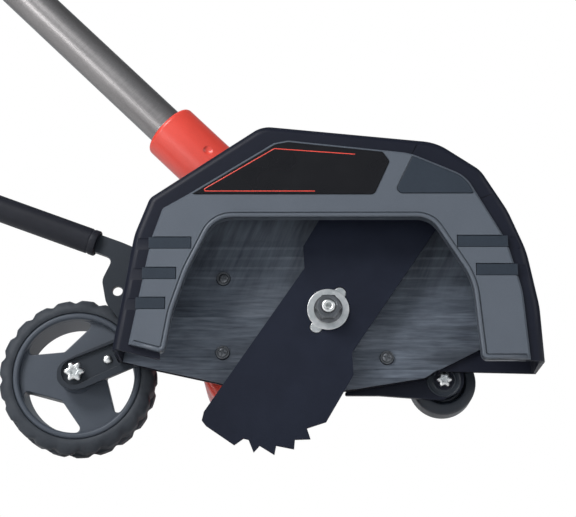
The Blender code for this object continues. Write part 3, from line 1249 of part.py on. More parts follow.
def controls():
    """The trigger with its spring, the switch behind it, the lock button above and the battery's contacts."""
    low = TRIGGER_HEIGHT - TRIGGER_DROP
    outline = rounded([
        (TRIGGER_PIVOT - 5, TRIGGER_HEIGHT + 4.5, 3), (TRIGGER_END, TRIGGER_HEIGHT + 3.5, 2),
        (TRIGGER_END, low + 12, 3), (TRIGGER_END - 8, low + 2, 8), (TRIGGER_PIVOT + 18, low, 14),
        (TRIGGER_PIVOT - 4, low + 10, 6),
    ], 3)
    pivot = (TRIGGER_PIVOT, 0, TRIGGER_HEIGHT)
    trigger = solid("trigger", prism(outline, -TRIGGER_HALF, TRIGGER_HALF), RED, TUBE, pivot)
    soften(trigger, 1.2, 1)
    pin = prism(circle((TRIGGER_PIVOT, TRIGGER_HEIGHT), TRUNNION_RADIUS, 14), -TRUNNION_HALF, TRUNNION_HALF)
    combine(trigger, tool("trigger_trunnions", pin, TUBE), "UNION")
    foot, top = TRIGGER_HEIGHT + 3.5 + FIT, TRIGGER_HEIGHT + TRIGGER_ROOM_ABOVE - FIT
    wire = (TRIGGER_SPRING_RADIUS, TRIGGER_SPRING_WIRE, TRIGGER_SPRING_TURNS)
    solid("trigger_spring", coil(TRIGGER_END - SPRING_FROM_END, 0, foot, top, *wire), STEEL, TUBE)
    block = box((SWITCH_AT, -SWITCH_HALF_WIDTH, -SWITCH_HALF_HEIGHT),
                (SWITCH_AT + SWITCH_LENGTH, SWITCH_HALF_WIDTH, SWITCH_HALF_HEIGHT))
    soften(solid("switch_body", block, SWITCH_GREY, TUBE), 0.8, 1)

    flange_low = GRIP_TOP - LOCK_ROOF - RUN - LOCK_FLANGE_THICK
    shape = box((LOCK_AT - LOCK_HALF_LENGTH, -LOCK_HALF_WIDTH, flange_low + 0.2),
                (LOCK_AT + LOCK_HALF_LENGTH, LOCK_HALF_WIDTH, GRIP_TOP + LOCK_PROUD))
    button = solid("lock_button", shape, RED, TUBE, (LOCK_AT, 0, GRIP_TOP))
    soften(button, 1.0, 1)
    wide = LOCK_HALF_WIDTH + LOCK_FLANGE - 0.2
    flange = box((LOCK_AT - LOCK_HALF_LENGTH - LOCK_FLANGE, -wide, flange_low),
                 (LOCK_AT + LOCK_HALF_LENGTH + LOCK_FLANGE, wide, flange_low + LOCK_FLANGE_THICK))
    combine(button, tool("button_flange", flange, TUBE), "UNION")
    wire = (LOCK_SPRING_RADIUS, LOCK_SPRING_WIRE, LOCK_SPRING_TURNS)
    solid("lock_spring", coil(LOCK_AT, 0, LOCK_FLOOR + FIT, flange_low - FIT, *wire), STEEL, TUBE)

    block = box((HANDLE_END - CONTACT_DEEP, -CONTACT_HALF, -CONTACT_HEIGHT),
                (HANDLE_END + RAIL_NECK + RAIL_HEAD - FIT, CONTACT_HALF, CONTACT_HEIGHT))
    solid("terminal_block", block, SWITCH_GREY, TUBE)


def soft_grip():
    """The rubber sleeve around the grip, between the trigger and the handle's rear."""
    start = TRIGGER_END + SOFT_FROM_TRIGGER
    end = HANDLE_END - SOFT_FROM_END
    half, low, high = HANDLE_HALF + FIT, GRIP_UNDER - FIT, GRIP_TOP + FIT
    hole = [(-half, low), (half, low), (half, high), (-half, high)]
    ring = rounded([(y, z, SOFT_ROUND) for y, z in grown(hole, SOFT_THICK)])
    grip = solid("soft_grip", lengthwise(ring, start, end), RUBBER, TUBE)
    combine(grip, tool("grip_hole", lengthwise(hole, start - PAST, end + PAST), TUBE))


def lengthwise(outline, start, end):
    """An outline across the tube, in Y and Z, drawn out along it."""
    bm = bmesh.new()
    one = [bm.verts.new((start, y, z)) for y, z in outline]
    two = [bm.verts.new((end, y, z)) for y, z in outline]
    bm.faces.new(one)
    bm.faces.new(two[::-1])
    for i in range(len(outline)):
        bm.faces.new((one[i], one[i - 1], two[i - 1], two[i]))
    return bm


def battery():
    """The slide-on battery, whose slot runs over the handle's rail, and its latch button."""
    front = HANDLE_END + RUN
    back = front + BATTERY_DEEP
    outline = rounded([
        (front, BATTERY_UNDER, 3), (front, BATTERY_TOP, 3), (back, BATTERY_TOP, 8), (back, BATTERY_UNDER, 8),
    ], 3)
    pack = solid("battery_pack", prism(outline, -BATTERY_HALF, BATTERY_HALF), BLACK_SHELL, TUBE,
                 (front, 0, BATTERY_TOP))
    soften(pack, 2.0, 2, 60)
    slot_low, slot_top = BATTERY_UNDER - PAST, RAIL_HIGH + RUN
    head_front = HANDLE_END + RAIL_NECK - RUN
    head_back = HANDLE_END + RAIL_NECK + RAIL_HEAD + RUN
    heights = (slot_low, slot_top)
    combine(pack, space("slot_neck", (front - PAST, head_front + PAST), RAIL_NECK_HALF + RUN, heights))
    combine(pack, space("slot_head", (head_front, head_back), RAIL_HEAD_HALF + RUN, heights))
    latch_front = front + LATCH_FROM_FRONT
    latch_back = latch_front + LATCH_LENGTH
    room = box((latch_front - 0.5, -LATCH_HALF - 0.5, BATTERY_TOP - LATCH_DEEP),
               (latch_back + 0.5, LATCH_HALF + 0.5, BATTERY_TOP + PAST))
    combine(pack, tool("latch_room", room, TUBE))
    latch = box((latch_front, -LATCH_HALF, BATTERY_TOP - LATCH_DEEP + LATCH_TRAVEL + FIT),
                (latch_back, LATCH_HALF, BATTERY_TOP + LATCH_PROUD))
    button = solid("battery_latch", latch, RED, TUBE, (latch_front, 0, BATTERY_TOP))
    soften(button, 1.2, 1)


def near_by(corners, place):
    """Corners given from a place, as x, z and rounding."""
    return [(place[0] + x, place[1] + z, rounding) for x, z, rounding in corners]


def lever():
    """The depth lever: one bent plate from the hand grip past its pivot to the wheel's axle."""
    pivot = (PIVOT[0], LEVER_FRONT, PIVOT[1])
    grip_start = Vector(PIVOT) + Vector(GRIP_START)
    line = Vector(polar(LEVER_BAR_LEAN, 1.0))
    under = Vector((-line.y, line.x))
    half = LEVER_BAR_WIDTH / 2

    def on_bar(along, across, rounding):
        return (*(grip_start + line * along + under * across), rounding)

    tip = GRIP_LENGTH + GRIP_END_ROOM
    outline = rounded(
        [on_bar(tip, -half, 4), on_bar(-LEVER_BEND, -half, 10)] + near_by(LEVER_FRONT_SIDE, PIVOT)
        + near_by(LEVER_AROUND_AXLE, AXLE) + near_by(LEVER_BACK_SIDE, PIVOT)
        + [on_bar(-LEVER_BEND + 1.3, half, 4), on_bar(tip, half, 4)]
    )
    plate = solid("depth_lever", prism(outline, LEVER_FRONT, LEVER_BACK), BLACK_SHELL, pivot=pivot)
    channel_end = near_by([(*CHANNEL_END, 0)], PIVOT)[0][:2]
    channel = belt(AXLE, CHANNEL_HALF + 1.2, channel_end, CHANNEL_HALF, 8)
    combine(plate, tool("arm_channel", prism(channel, LEVER_FRONT - PAST, LEVER_FRONT + CHANNEL_DEPTH)))
    eye = near_by([(*LEVER_EYE, 3.0), (*ARM_EYE, 2.6)], PIVOT)
    for number, (x, z, radius) in enumerate(eye + [(*PIVOT, PIVOT_RADIUS + FIT), (*AXLE, AXLE_RADIUS + FIT)]):
        hole = prism(circle((x, z), radius, 20), LEVER_FRONT - PAST, LEVER_BACK + PAST)
        combine(plate, tool(f"lever_hole_{number}", hole))
    x, z, radius = near_by([(*ARM_RIVET, 2.6)], AXLE)[0]
    rivet = spun([(0, LEVER_FRONT + 0.4), (radius - 0.6, LEVER_FRONT + 0.4), (radius, LEVER_FRONT + 1.0),
                  (radius, LEVER_FRONT + 2.4), (0, LEVER_FRONT + 2.4)], (x, z), 14)
    combine(plate, tool("arm_rivet", rivet), "UNION")

    seat = BACK_INSIDE - FIT
    face = seat - PIVOT_HEAD_THICK
    end = LEVER_BACK + FIT + PIVOT_NUT_HEIGHT + THREAD_SHOWING
    head = [
        (0, face), (PIVOT_HEAD_RADIUS - 0.8, face), (PIVOT_HEAD_RADIUS, face + 1.0), (PIVOT_HEAD_RADIUS, seat),
        (PIVOT_RADIUS, seat), (PIVOT_RADIUS, end), (0, end),
    ]
    solid("pivot_bolt", spun(head, PIVOT, 14), STEEL)
    nut("pivot_nut", PIVOT, LEVER_BACK + FIT, PIVOT_NUT_HEIGHT, PIVOT_RADIUS)

    wall = GRIP_LENGTH + GRIP_END_ROOM + 1.0
    back = wall + GRIP_END_WALL
    profile = [(GRIP_BORE, 0), (GRIP_RADIUS - 0.8, 0), (GRIP_RADIUS, 1.5), (GRIP_RADIUS, back - 4),
               (GRIP_RADIUS - 2.5, back - 1), (0, back), (0, wall), (GRIP_BORE, wall)]
    middle = (LEVER_FRONT + LEVER_BACK) / 2
    start = Vector((grip_start.x, middle, grip_start.y))
    turn = Vector((line.x, 0.0, line.y)).to_track_quat("X", "Z").to_matrix().to_4x4()
    sleeve = spun(profile, steps=16, closed=True, axis="X")
    solid("lever_grip", sleeve, RUBBER, pivot=pivot, turn=Matrix.Translation(start) @ turn)


def nut(name, centre, front, height, bore):
    across = 2 * bore + 5.0
    hexagon = circle(centre, across / math.sqrt(3), 6)
    piece = solid(name, prism(hexagon, front, front + height), STEEL, pivot=(centre[0], front, centre[1]))
    hole = prism(circle(centre, bore + FIT, 20), front - PAST, front + height + PAST)
    combine(piece, tool(f"{name}_bore", hole))


def wheel():
    """The spoked rear wheel with its lugged tyre, on an axle held by the lever's end."""
    pivot = (AXLE[0], WHEEL_FRONT, AXLE[1])
    back = WHEEL_FRONT + WHEEL_WIDTH
    near = LEVER_BACK + RUN
    hub = ring_profile(AXLE_RADIUS + FIT, WHEEL_HUB_RADIUS, near, back)
    rim = solid("wheel_rim", spun(hub, AXLE, 20, closed=True), WHEEL_BLACK, pivot=pivot)
    spoke_front = WHEEL_FRONT + SPOKE_INSET
    inner = (AXLE_RADIUS + WHEEL_HUB_RADIUS) / 2
    for k in range(SPOKES):
        angle = math.radians(SPOKE_ANGLE + 360 * k / SPOKES)
        bar = box((inner, spoke_front, -SPOKE_WIDTH / 2),
                  (RIM_RADIUS - RIM_WALL / 3, spoke_front + SPOKE_THICK, SPOKE_WIDTH / 2))
        place = Matrix.Translation((AXLE[0], 0, AXLE[1])) @ Matrix.Rotation(-angle, 4, "Y")
        combine(rim, tool(f"spoke_{k}", bar, turn=place), "UNION")
    lip = RIM_RADIUS + RIM_LIP
    ring = [
        (RIM_RADIUS - RIM_WALL, WHEEL_FRONT + 1), (lip, WHEEL_FRONT + 1), (lip, WHEEL_FRONT + 4),
        (RIM_RADIUS, WHEEL_FRONT + 5), (RIM_RADIUS, back - 5), (lip, back - 4), (lip, back - 1),
        (RIM_RADIUS - RIM_WALL, back - 1),
    ]
    combine(rim, tool("rim_ring", spun(ring, AXLE, 30, closed=True)), "UNION")
    combine(rim, tool("axle_bore", prism(circle(AXLE, AXLE_RADIUS + FIT, 14), near - PAST, back + PAST)))
    tyre(pivot)
    head = LEVER_FRONT - FIT
    end = back + RUN + AXLE_NUT_HEIGHT + THREAD_SHOWING * 2
    face = head - AXLE_HEAD_THICK
    profile = [
        (0, face), (AXLE_RADIUS - 0.8, face), (AXLE_HEAD_RADIUS - 0.6, face + 1), (AXLE_HEAD_RADIUS, head),
        (AXLE_RADIUS, head), (AXLE_RADIUS, end), (0, end),
    ]
    solid("wheel_axle", spun(profile, AXLE, 14), STEEL)
    nut("axle_nut", AXLE, back + RUN, AXLE_NUT_HEIGHT, AXLE_RADIUS)


def tyre(pivot):
    """A tyre whose crown steps in and out in two rows of lugs, half a lug apart."""
    seat = RIM_RADIUS + RIM_LIP + FIT
    inner = RIM_RADIUS + FIT
    front, back = WHEEL_FRONT, WHEEL_FRONT + WHEEL_WIDTH
    base = WHEEL_RADIUS - LUG_HEIGHT
    groove = (WHEEL_WIDTH - TREAD_GAP) / 2
    rows = [
        (inner, front + 5.4, 0, 0), (seat, front + 4.6, 0, 0), (seat, front + 0.6, 0, 0),
        (base - 3.6, front, 0, 0), (base, front + 4.0, 1, 0), (base, front + groove, 1, 0),
        (base, back - groove, 1, 1), (base, back - 4.0, 1, 1), (base - 3.6, back, 0, 0),
        (seat, back - 0.6, 0, 0), (seat, back - 4.6, 0, 0), (inner, back - 5.4, 0, 0),
    ]
    steps = LUG_COUNT * 3
    bm = bmesh.new()
    rings = []
    for radius, depth, share, shift in rows:
        ring = []
        for k in range(steps):
            raised = LUG_HEIGHT * share if (k + 2 * shift) % 3 < 2 else 0.0
            point = polar(360 * k / steps, radius + raised)
            ring.append(bm.verts.new((AXLE[0] + point[0], depth, AXLE[1] + point[1])))
        rings.append(ring)
    for i, one in enumerate(rings):
        two = rings[(i + 1) % len(rings)]
        for k in range(steps):
            n = (k + 1) % steps
            bm.faces.new((one[k], one[n], two[n], two[k]))
    solid("wheel_tyre", bm, RUBBER, pivot=pivot)


def roller():
    """The fixed arm under the right of the guard, and the roller on its pin."""
    front = ROLLER_ARM_FRONT
    back = front + ROLLER_ARM_THICK
    inner = [(*polar(angle, CASE_RADIUS + gap), rounding) for angle, gap, rounding in ROLLER_ARM_BY_CASE]
    outline = rounded(inner + near_by(ROLLER_ARM_CORNERS, ROLLER_AXIS))
    arm = solid("roller_arm", prism(outline, front, back), BLACK_SHELL)
    pad = rounded(near_by(ROLLER_PAD_CORNERS, ROLLER_AXIS), 3)
    combine(arm, tool("arm_pad", prism(pad, BACK_OUTSIDE + FIT, front + ROLLER_ARM_THICK / 3)), "UNION")
    bore = ROLLER_PIN_RADIUS + FIT
    combine(arm, tool("roller_pin_bore", prism(circle(ROLLER_AXIS, bore, 20), front - PAST, back + PAST)))
    hollow = back + RUN
    far = ROLLER_FRONT + ROLLER_WIDTH
    floor = ROLLER_FRONT + ROLLER_RECESS_DEPTH
    profile = [
        (bore, hollow), (ROLLER_HUB_RADIUS, hollow), (ROLLER_HUB_RADIUS, floor), (ROLLER_RECESS_RADIUS, floor),
        (ROLLER_RECESS_RADIUS, ROLLER_FRONT), (ROLLER_RADIUS - ROLLER_EDGE, ROLLER_FRONT),
        (ROLLER_RADIUS, ROLLER_FRONT + ROLLER_EDGE), (ROLLER_RADIUS, far - ROLLER_EDGE),
        (ROLLER_RADIUS - ROLLER_EDGE, far), (bore, far),
    ]
    pivot = (ROLLER_AXIS[0], ROLLER_FRONT, ROLLER_AXIS[1])
    solid("front_roller", spun(profile, ROLLER_AXIS, 24, closed=True), WHEEL_BLACK, pivot=pivot)
    head = front - FIT
    rivet = far + RUN
    wide = ROLLER_PIN_HEAD_RADIUS
    thick = ROLLER_PIN_HEAD_THICK
    profile = [
        (0, head - thick), (wide - 1.4, head - thick), (wide, head - thick / 2), (wide, head),
        (ROLLER_PIN_RADIUS, head),
        (ROLLER_PIN_RADIUS, rivet), (wide, rivet), (wide, rivet + thick * 0.6), (wide - 1.4, rivet + thick),
        (0, rivet + thick),
    ]
    solid("roller_pin", spun(profile, ROLLER_AXIS, 14), STEEL)


guard()
cover()
liner()
cutter()
gears()
case()
barrel()
tubes()
clamp()
loop()
handle()
lever()
wheel()
roller()
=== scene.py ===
# %% [markdown]
# # A cordless lawn edger
# The solids of this machine come packed, each riding on its moving body. This lesson gives them their looks:
# finishes made from nodes, fine mouldings in place of the plain solids, a camera and soft studio light.

import json
import math

import bmesh
import bpy
from mathutils import Matrix, Vector

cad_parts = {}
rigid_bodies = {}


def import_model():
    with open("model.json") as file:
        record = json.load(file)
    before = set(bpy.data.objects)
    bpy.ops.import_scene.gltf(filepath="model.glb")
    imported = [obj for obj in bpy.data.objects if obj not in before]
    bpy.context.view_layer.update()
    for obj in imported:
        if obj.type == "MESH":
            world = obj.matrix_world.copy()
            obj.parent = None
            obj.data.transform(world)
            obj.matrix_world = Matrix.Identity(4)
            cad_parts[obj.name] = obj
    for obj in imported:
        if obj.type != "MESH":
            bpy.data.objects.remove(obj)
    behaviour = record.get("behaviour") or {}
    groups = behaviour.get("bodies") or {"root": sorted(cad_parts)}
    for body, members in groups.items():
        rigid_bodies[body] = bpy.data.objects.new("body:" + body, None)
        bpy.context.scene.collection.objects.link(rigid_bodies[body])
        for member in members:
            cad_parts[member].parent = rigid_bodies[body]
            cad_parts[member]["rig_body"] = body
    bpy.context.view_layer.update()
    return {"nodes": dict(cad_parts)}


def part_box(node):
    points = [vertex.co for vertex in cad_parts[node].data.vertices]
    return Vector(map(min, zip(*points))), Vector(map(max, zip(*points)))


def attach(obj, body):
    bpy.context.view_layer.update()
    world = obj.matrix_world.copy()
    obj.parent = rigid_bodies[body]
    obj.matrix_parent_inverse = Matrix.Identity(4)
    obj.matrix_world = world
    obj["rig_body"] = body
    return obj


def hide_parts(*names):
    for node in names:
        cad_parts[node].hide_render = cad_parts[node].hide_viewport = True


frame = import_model()

# %% [markdown]
# Everything on the head is easiest to draw around the blade's centre, and everything on the tube along the tube.
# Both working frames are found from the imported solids, so the drawings below stay in millimetres.

# %% Two working frames
MM = 0.001
QUARTER = math.pi / 2
TUBE_SLOPE = math.radians(44.3)


def centre(node):
    low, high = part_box(node)
    return (low + high) / 2


hub = Vector((centre("spindle").x, centre("blade").y, centre("spindle").z))
HEAD = Matrix.Translation(hub)
up_tube = Vector((-math.cos(TUBE_SLOPE), 0.0, math.sin(TUBE_SLOPE)))
away = Vector((math.sin(TUBE_SLOPE), 0.0, math.cos(TUBE_SLOPE)))
turn = Matrix((up_tube, away.cross(up_tube), away)).transposed().to_4x4()
tube_axis = centre("lower_tube")
foot = tube_axis + up_tube * (hub - tube_axis).dot(up_tube)
TUBE = Matrix.Translation(foot) @ turn
ALONG = TUBE @ Matrix.Rotation(-QUARTER, 4, "Z")


def limits(node, place=HEAD):
    """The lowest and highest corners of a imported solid, in millimetres of a working frame."""
    back = place.inverted()
    points = [back @ vertex.co / MM for vertex in frame["nodes"][node].data.vertices]
    return [Vector([pick(p[i] for p in points) for i in range(3)]) for pick in (min, max)]


def middle_of(node, place=HEAD):
    low, high = limits(node, place)
    return (low.x + high.x) / 2, (low.z + high.z) / 2


def on_head(node):
    return (centre(node) - hub).xz / MM


def shifted(place, spot, angle):
    """A working frame moved by millimetres and turned about its own Y."""
    return place @ Matrix.Translation(Vector(spot) * MM) @ Matrix.Rotation(angle, 4, "Y")


def placed(name, data):
    new = bpy.data.objects.new(name, data)
    bpy.context.scene.collection.objects.link(new)
    return new


print("blade centre", tuple(round(v, 4) for v in hub), "tube foot", tuple(round(v, 4) for v in foot))

# %% [markdown]
# The portrait is taken close in front of the guard and below it, with a long lens tilted upwards. The camera stands
# lower than the ground, so the floor is one-sided: a pale sheet from above, and clear from below.

# %% Camera
LENS = 98.8125
SENSOR = 36.0
CAMERA_FROM_HUB = (-22.9, -878.7, -214.5)
CAMERA_TILT = 15.6

camera_data = bpy.data.cameras.new("portrait")
camera_data.lens = LENS
camera_data.sensor_width = SENSOR
camera = placed("portrait", camera_data)
camera.location = hub + Vector(CAMERA_FROM_HUB) * MM
camera.rotation_euler = (math.radians(90 + CAMERA_TILT), 0.0, 0.0)
bpy.context.scene.camera = camera
bpy.context.scene.view_settings.view_transform = "Standard"
print("camera", round((camera.location - hub).length, 3), "m from the blade")

# %% [markdown]
# Shader sums read best as plain sums. `Wire` wraps one socket and adds a Math node for each operator, so that
# `1 - mask` works too. `Recipe` is the node tree of a material or of the world.

# %% Shader sums as Python


def sums(operation, reflected=False):
    def apply(self, other):
        first, second = (other, self) if reflected else (self, other)
        return self.recipe.node("Math", {"operation": operation}, {0: first, 1: second})
    return apply


class Wire:
    """A socket inside a node tree that can be used in a sum."""
    __add__ = __radd__ = sums("ADD")
    __sub__ = sums("SUBTRACT")
    __rsub__ = sums("SUBTRACT", reflected=True)
    __mul__ = __rmul__ = sums("MULTIPLY")

    def __init__(self, recipe, socket):
        self.recipe = recipe
        self.socket = socket


class Recipe:
    """One material, or the world, put together node by node."""

    def __init__(self, name, home="materials", **constants):
        self.owner = getattr(bpy.data, home).new(name)
        self.owner.use_nodes = True
        self.tree = self.owner.node_tree
        self.use(**constants)

    def feed(self, socket, value):
        if isinstance(value, Wire):
            self.tree.links.new(value.socket, socket)
        else:
            socket.default_value = value

    def use(self, **values):
        for name, value in values.items():
            self.feed(self.tree.nodes["Principled BSDF"].inputs[name.replace("_", " ")], value)

    def node(self, kind, settings=None, sockets=None, output=0):
        new = self.tree.nodes.new("ShaderNode" + kind)
        for name, value in (settings or {}).items():
            setattr(new, name, value)
        for name, value in (sockets or {}).items():
            self.feed(new.inputs[name], value)
        return Wire(self, new.outputs[output])

    def where(self, scale=(1, 1, 1), turned=0.0):
        """Places on the machine in metres, turned about Y and then stretched."""
        spot = self.node("TexCoord", output="Object")
        spot = self.node("Mapping", {}, {"Vector": spot, "Rotation": (0.0, turned, 0.0)})
        return self.node("Mapping", {}, {"Vector": spot, "Scale": scale})

    def noise(self, size, detail=2.0, rough=0.5, where=None):
        """Soft noise from 0 to 1 whose patches are about `size` metres across."""
        spots = {"Scale": 1.0 / size, "Detail": detail, "Roughness": rough, "Vector": where or self.where()}
        return self.node("TexNoise", {}, spots)

    def spread(self, value, low, high):
        """A value from low to high, stretched over 0 to 1 and cut off there."""
        return self.node("MapRange", {}, {"Value": value, "From Min": low, "From Max": high})

    def part(self, vector, axis):
        return self.node("SeparateXYZ", {}, {0: vector}, axis)

    def tint(self, share, first, second):
        """Two colours mixed by a share from 0 to 1."""
        return self.node("Mix", {"data_type": "RGBA"}, {0: share, 6: (*first, 1.0), 7: (*second, 1.0)}, 2)

    def dents(self, height, depth):
        return self.node("Bump", {}, {"Height": height, "Distance": depth, "Strength": 1.0})


def shade(colour, by):
    return tuple(min(1.0, c * by) for c in colour)


print("shader helpers ready")

# %% [markdown]
# Most of the machine is moulded plastic. The spark-eroded mould leaves a fine even grain, and hands and packing
# rub soft patches of slightly different gloss into it.

# %% Moulded plastics


def moulded(name, colour, rough, grain=0.0005, contrast=0.12, coat=0.0, shine=0.5):
    mix = Recipe(name, Coat_Weight=coat, Coat_Roughness=0.28, Specular_IOR_Level=shine)
    patches = mix.noise(0.035, 4.0, 0.6)
    tone = mix.spread(patches * 0.6 + mix.noise(grain * 1.6, 1.0) * 0.4, 0.3, 0.7)
    base = mix.tint(tone, shade(colour, 1.0 - contrast), shade(colour, 1.0 + contrast))
    relief = mix.dents(mix.noise(grain, 2.0, 0.7), 0.00003)
    mix.use(Base_Color=base, Roughness=rough - 0.06 + patches * 0.12, Normal=relief)
    return mix.owner


FINISHES = {
    "black_shell": moulded("black_shell_grain", (0.0090, 0.0110, 0.0210), 0.44, shine=0.24),
    "grey_cover": moulded("grey_cover_satin", (0.102, 0.119, 0.146), 0.40, grain=0.0007, contrast=0.05),
    "panel_grey": moulded("side_panel_slate", (0.030, 0.040, 0.055), 0.38, grain=0.0007, shine=0.3),
    "red_plastic": moulded("red_collar_plastic", (0.84, 0.070, 0.045), 0.38, contrast=0.06, coat=0.5),
    "wheel_black": moulded("wheel_black_plastic", (0.064, 0.077, 0.099), 0.44),
    "lever_black": moulded("lever_black_plastic", (0.019, 0.025, 0.035), 0.40, shine=0.45),
    "switch_grey": moulded("switch_grey_plastic", (0.17, 0.17, 0.18), 0.45),
}
print("moulded finishes:", ", ".join(FINISHES))

# %% [markdown]
# The ribbed plate behind the blade is the dirtiest place. Its level scratches stand up steeply near the top, so two
# noises are stretched along them, and height chooses between the two.

# %% Ribbed back plate
FAN_HEIGHTS = (0.090, 0.112)
FAN_LEAN = math.radians(-22)

mix = Recipe("back_plate_scratched", Specular_IOR_Level=0.4)
level = mix.noise(0.0016, 3.0, 0.6, mix.where((0.10, 1.0, 1.0)))
fanned = mix.noise(0.0035, 3.0, 0.6, mix.where((1.0, 1.0, 0.12), FAN_LEAN))
share = mix.spread(mix.part(mix.where(), "Z"), *FAN_HEIGHTS)
streaks = level + (fanned - level) * share
tone = mix.spread(streaks * 0.65 + mix.noise(0.02, 3.0) * 0.35, 0.3, 0.7)
base = mix.tint(tone, (0.052, 0.063, 0.086), (0.165, 0.195, 0.240))
mix.use(Base_Color=base, Roughness=0.62 - tone * 0.22, Normal=mix.dents(streaks, 0.00018))
FINISHES["liner_black"] = mix.owner
print("back plate finish ready")

# %% [markdown]
# Blade, film, plated steel and rubber share one recipe: two tones in soft patches, a gloss that follows them, and
# a fine relief. Soil polishes the blade's black coat, zinc on steel reads as fine even noise, and the tyre has a
# grey bloom of dust.

# %% Coated blade, film, steel and rubber


def clouded(name, dark, light, rough, gloss, patches, fine, depth, share=(0.3, 0.7), **constants):
    mix = Recipe(name, **constants)
    cloud = mix.noise(*patches)
    base = mix.tint(mix.spread(cloud, *share), dark, light)
    mix.use(Base_Color=base, Roughness=rough + cloud * gloss, Normal=mix.dents(mix.noise(*fine), depth))
    return mix.owner


def plated(name, colour, rough):
    return clouded(name, shade(colour, 0.82), shade(colour, 1.1), rough, 0.14, (0.004, 4.0, 0.6), (0.0004, 2.0),
                   0.00002, Metallic=1.0)


def rubber(name, colour, dust, rough):
    return clouded(name, colour, dust, rough, -0.12, (0.012, 5.0, 0.65), (0.0006, 2.0, 0.7), 0.00005, (0.35, 0.75),
                   Specular_IOR_Level=0.3)


FINISHES["blade_black"] = clouded(
    "blade_black_coat", (0.009, 0.012, 0.024), (0.014, 0.018, 0.033), 0.56, -0.16, (0.03, 5.0, 0.6), (0.0012, 2.0),
    0.00004, (0.35, 0.7), Specular_IOR_Level=0.2)
FINISHES["label_black"] = clouded(
    "label_film", (0.006, 0.006, 0.008), (0.010, 0.010, 0.012), 0.24, 0.08, (0.012, 1.0), (0.012, 1.0), 0.00003,
    (0.0, 1.0), Specular_IOR_Level=0.25, Coat_Weight=0.15, Coat_Roughness=0.08)
FINISHES["steel"] = plated("steel_plated", (0.93, 0.97, 0.97), 0.26)
FINISHES["dark_steel"] = plated("steel_blackened", (0.19, 0.20, 0.215), 0.30)
FINISHES["rubber"] = rubber("grip_rubber", (0.009, 0.010, 0.016), (0.014, 0.016, 0.024), 0.58)
FINISHES["tyre"] = rubber("tyre_rubber", (0.034, 0.040, 0.050), (0.058, 0.066, 0.078), 0.66)
print("coats, metals and rubbers ready")

# %% [markdown]
# The tube is drawn through a die, so its marks run along it: the noise is turned by the tube's slope and stretched
# lengthwise. It changes only tone and gloss, because dents this fine would sparkle in a small picture.

# %% Drawn tube
mix = Recipe("aluminium_drawn", Metallic=0.85)
lines = mix.noise(0.0006, 3.0, 0.6, mix.where((0.012, 1.0, 1.0), TUBE_SLOPE))
tone = mix.spread(lines * 0.6 + mix.noise(0.03, 3.0) * 0.4, 0.3, 0.7)
mix.use(Base_Color=mix.tint(tone, (0.25, 0.24, 0.24), (0.34, 0.325, 0.325)), Roughness=0.33 + lines * 0.06)
FINISHES["aluminium_tube"] = mix.owner
print("tube finish ready")

# %% [markdown]
# Shapes start as outlines. Corners are given with a radius and turned into arcs, and an outline can be moved
# aside by a distance, which gives rims, gaps and seats from the same line.

# %% Outlines
ARC_STEPS = 10
NEARLY_STRAIGHT = math.radians(89)


def rounded(corners, steps=ARC_STEPS):
    """An outline or path whose corners, given as x, z and radius, are rounded by arcs."""
    points = []
    for i, (x, z, radius) in enumerate(corners):
        here = Vector((x, z))
        back = (Vector(corners[i - 1][:2]) - here).normalized()
        ahead = (Vector(corners[(i + 1) % len(corners)][:2]) - here).normalized()
        half = back.angle(ahead) / 2
        if radius <= 0 or half > NEARLY_STRAIGHT:
            points.append((x, z))
            continue
        middle = here + (back + ahead).normalized() * radius / math.sin(half)
        start = here + back * radius / math.tan(half) - middle
        end = here + ahead * radius / math.tan(half) - middle
        sweep = end.angle_signed(start)
        points += [tuple(middle + Matrix.Rotation(sweep * k / steps, 2) @ start) for k in range(steps + 1)]
    return points


def tablet(left, right, low, high, lower, upper, steps=ARC_STEPS):
    """A rectangle with one radius for its lower corners and one for its upper corners."""
    return rounded([(left, low, lower), (right, low, lower), (right, high, upper), (left, high, upper)], steps)


def aside(path, distance):
    """A path moved to its left by a distance, with mitred corners."""
    moved = []
    for i, point in enumerate(path):
        here = Vector(point)
        back = (here - Vector(path[i - 1])) if i > 0 else None
        ahead = (Vector(path[i + 1]) - here) if i < len(path) - 1 else None
        back = (back or ahead).normalized()
        ahead = (ahead or back).normalized()
        normal = Vector((-back.y - ahead.y, back.x + ahead.x)).normalized()
        moved.append(tuple(here + normal * distance / normal.dot(Vector((-back.y, back.x)))))
    return moved


def grown(outline, distance):
    """A closed outline moved outwards, or inwards by a negative distance."""
    count = len(outline)
    area = sum(outline[i - 1][0] * outline[i][1] - outline[i][0] * outline[i - 1][1] for i in range(count))
    looped = [outline[-1]] + outline + [outline[0]]
    return aside(looped, -distance if area > 0 else distance)[1:-1]


def polar(middle, reach, angles):
    """Points around a middle, whose distance from it is a formula of the angle."""
    return [(middle[0] + reach(a) * math.cos(a), middle[1] + reach(a) * math.sin(a)) for a in angles]


def turns(steps):
    return [2 * math.pi * k / steps for k in range(steps)]


def circle(middle, radius, steps=48):
    return polar(middle, lambda angle: radius, turns(steps))


def arc(middle, radius, start, end, steps):
    return polar(middle, lambda angle: radius, [start + (end - start) * k / steps for k in range(steps + 1)])


def belt(first, first_radius, second, second_radius, steps=20):
    """The outline of a belt around two circles."""
    line = Vector(second) - Vector(first)
    lean = math.atan2(line.y, line.x)
    half = math.acos((first_radius - second_radius) / line.length)
    return (arc(second, second_radius, lean - half, lean + half, steps)
            + arc(first, first_radius, lean + half, lean - half + 2 * math.pi, steps))


print("outline helpers ready")

# %% [markdown]
# An outline becomes a body by drawing it out in depth, by spinning a profile, or by carrying a section along a
# path. All three join rings of points, one ring to the next. A profile lists points of radius and depth, and
# `near` gives those that lie close to one edge by their steps from it.

# %% Bodies from rings


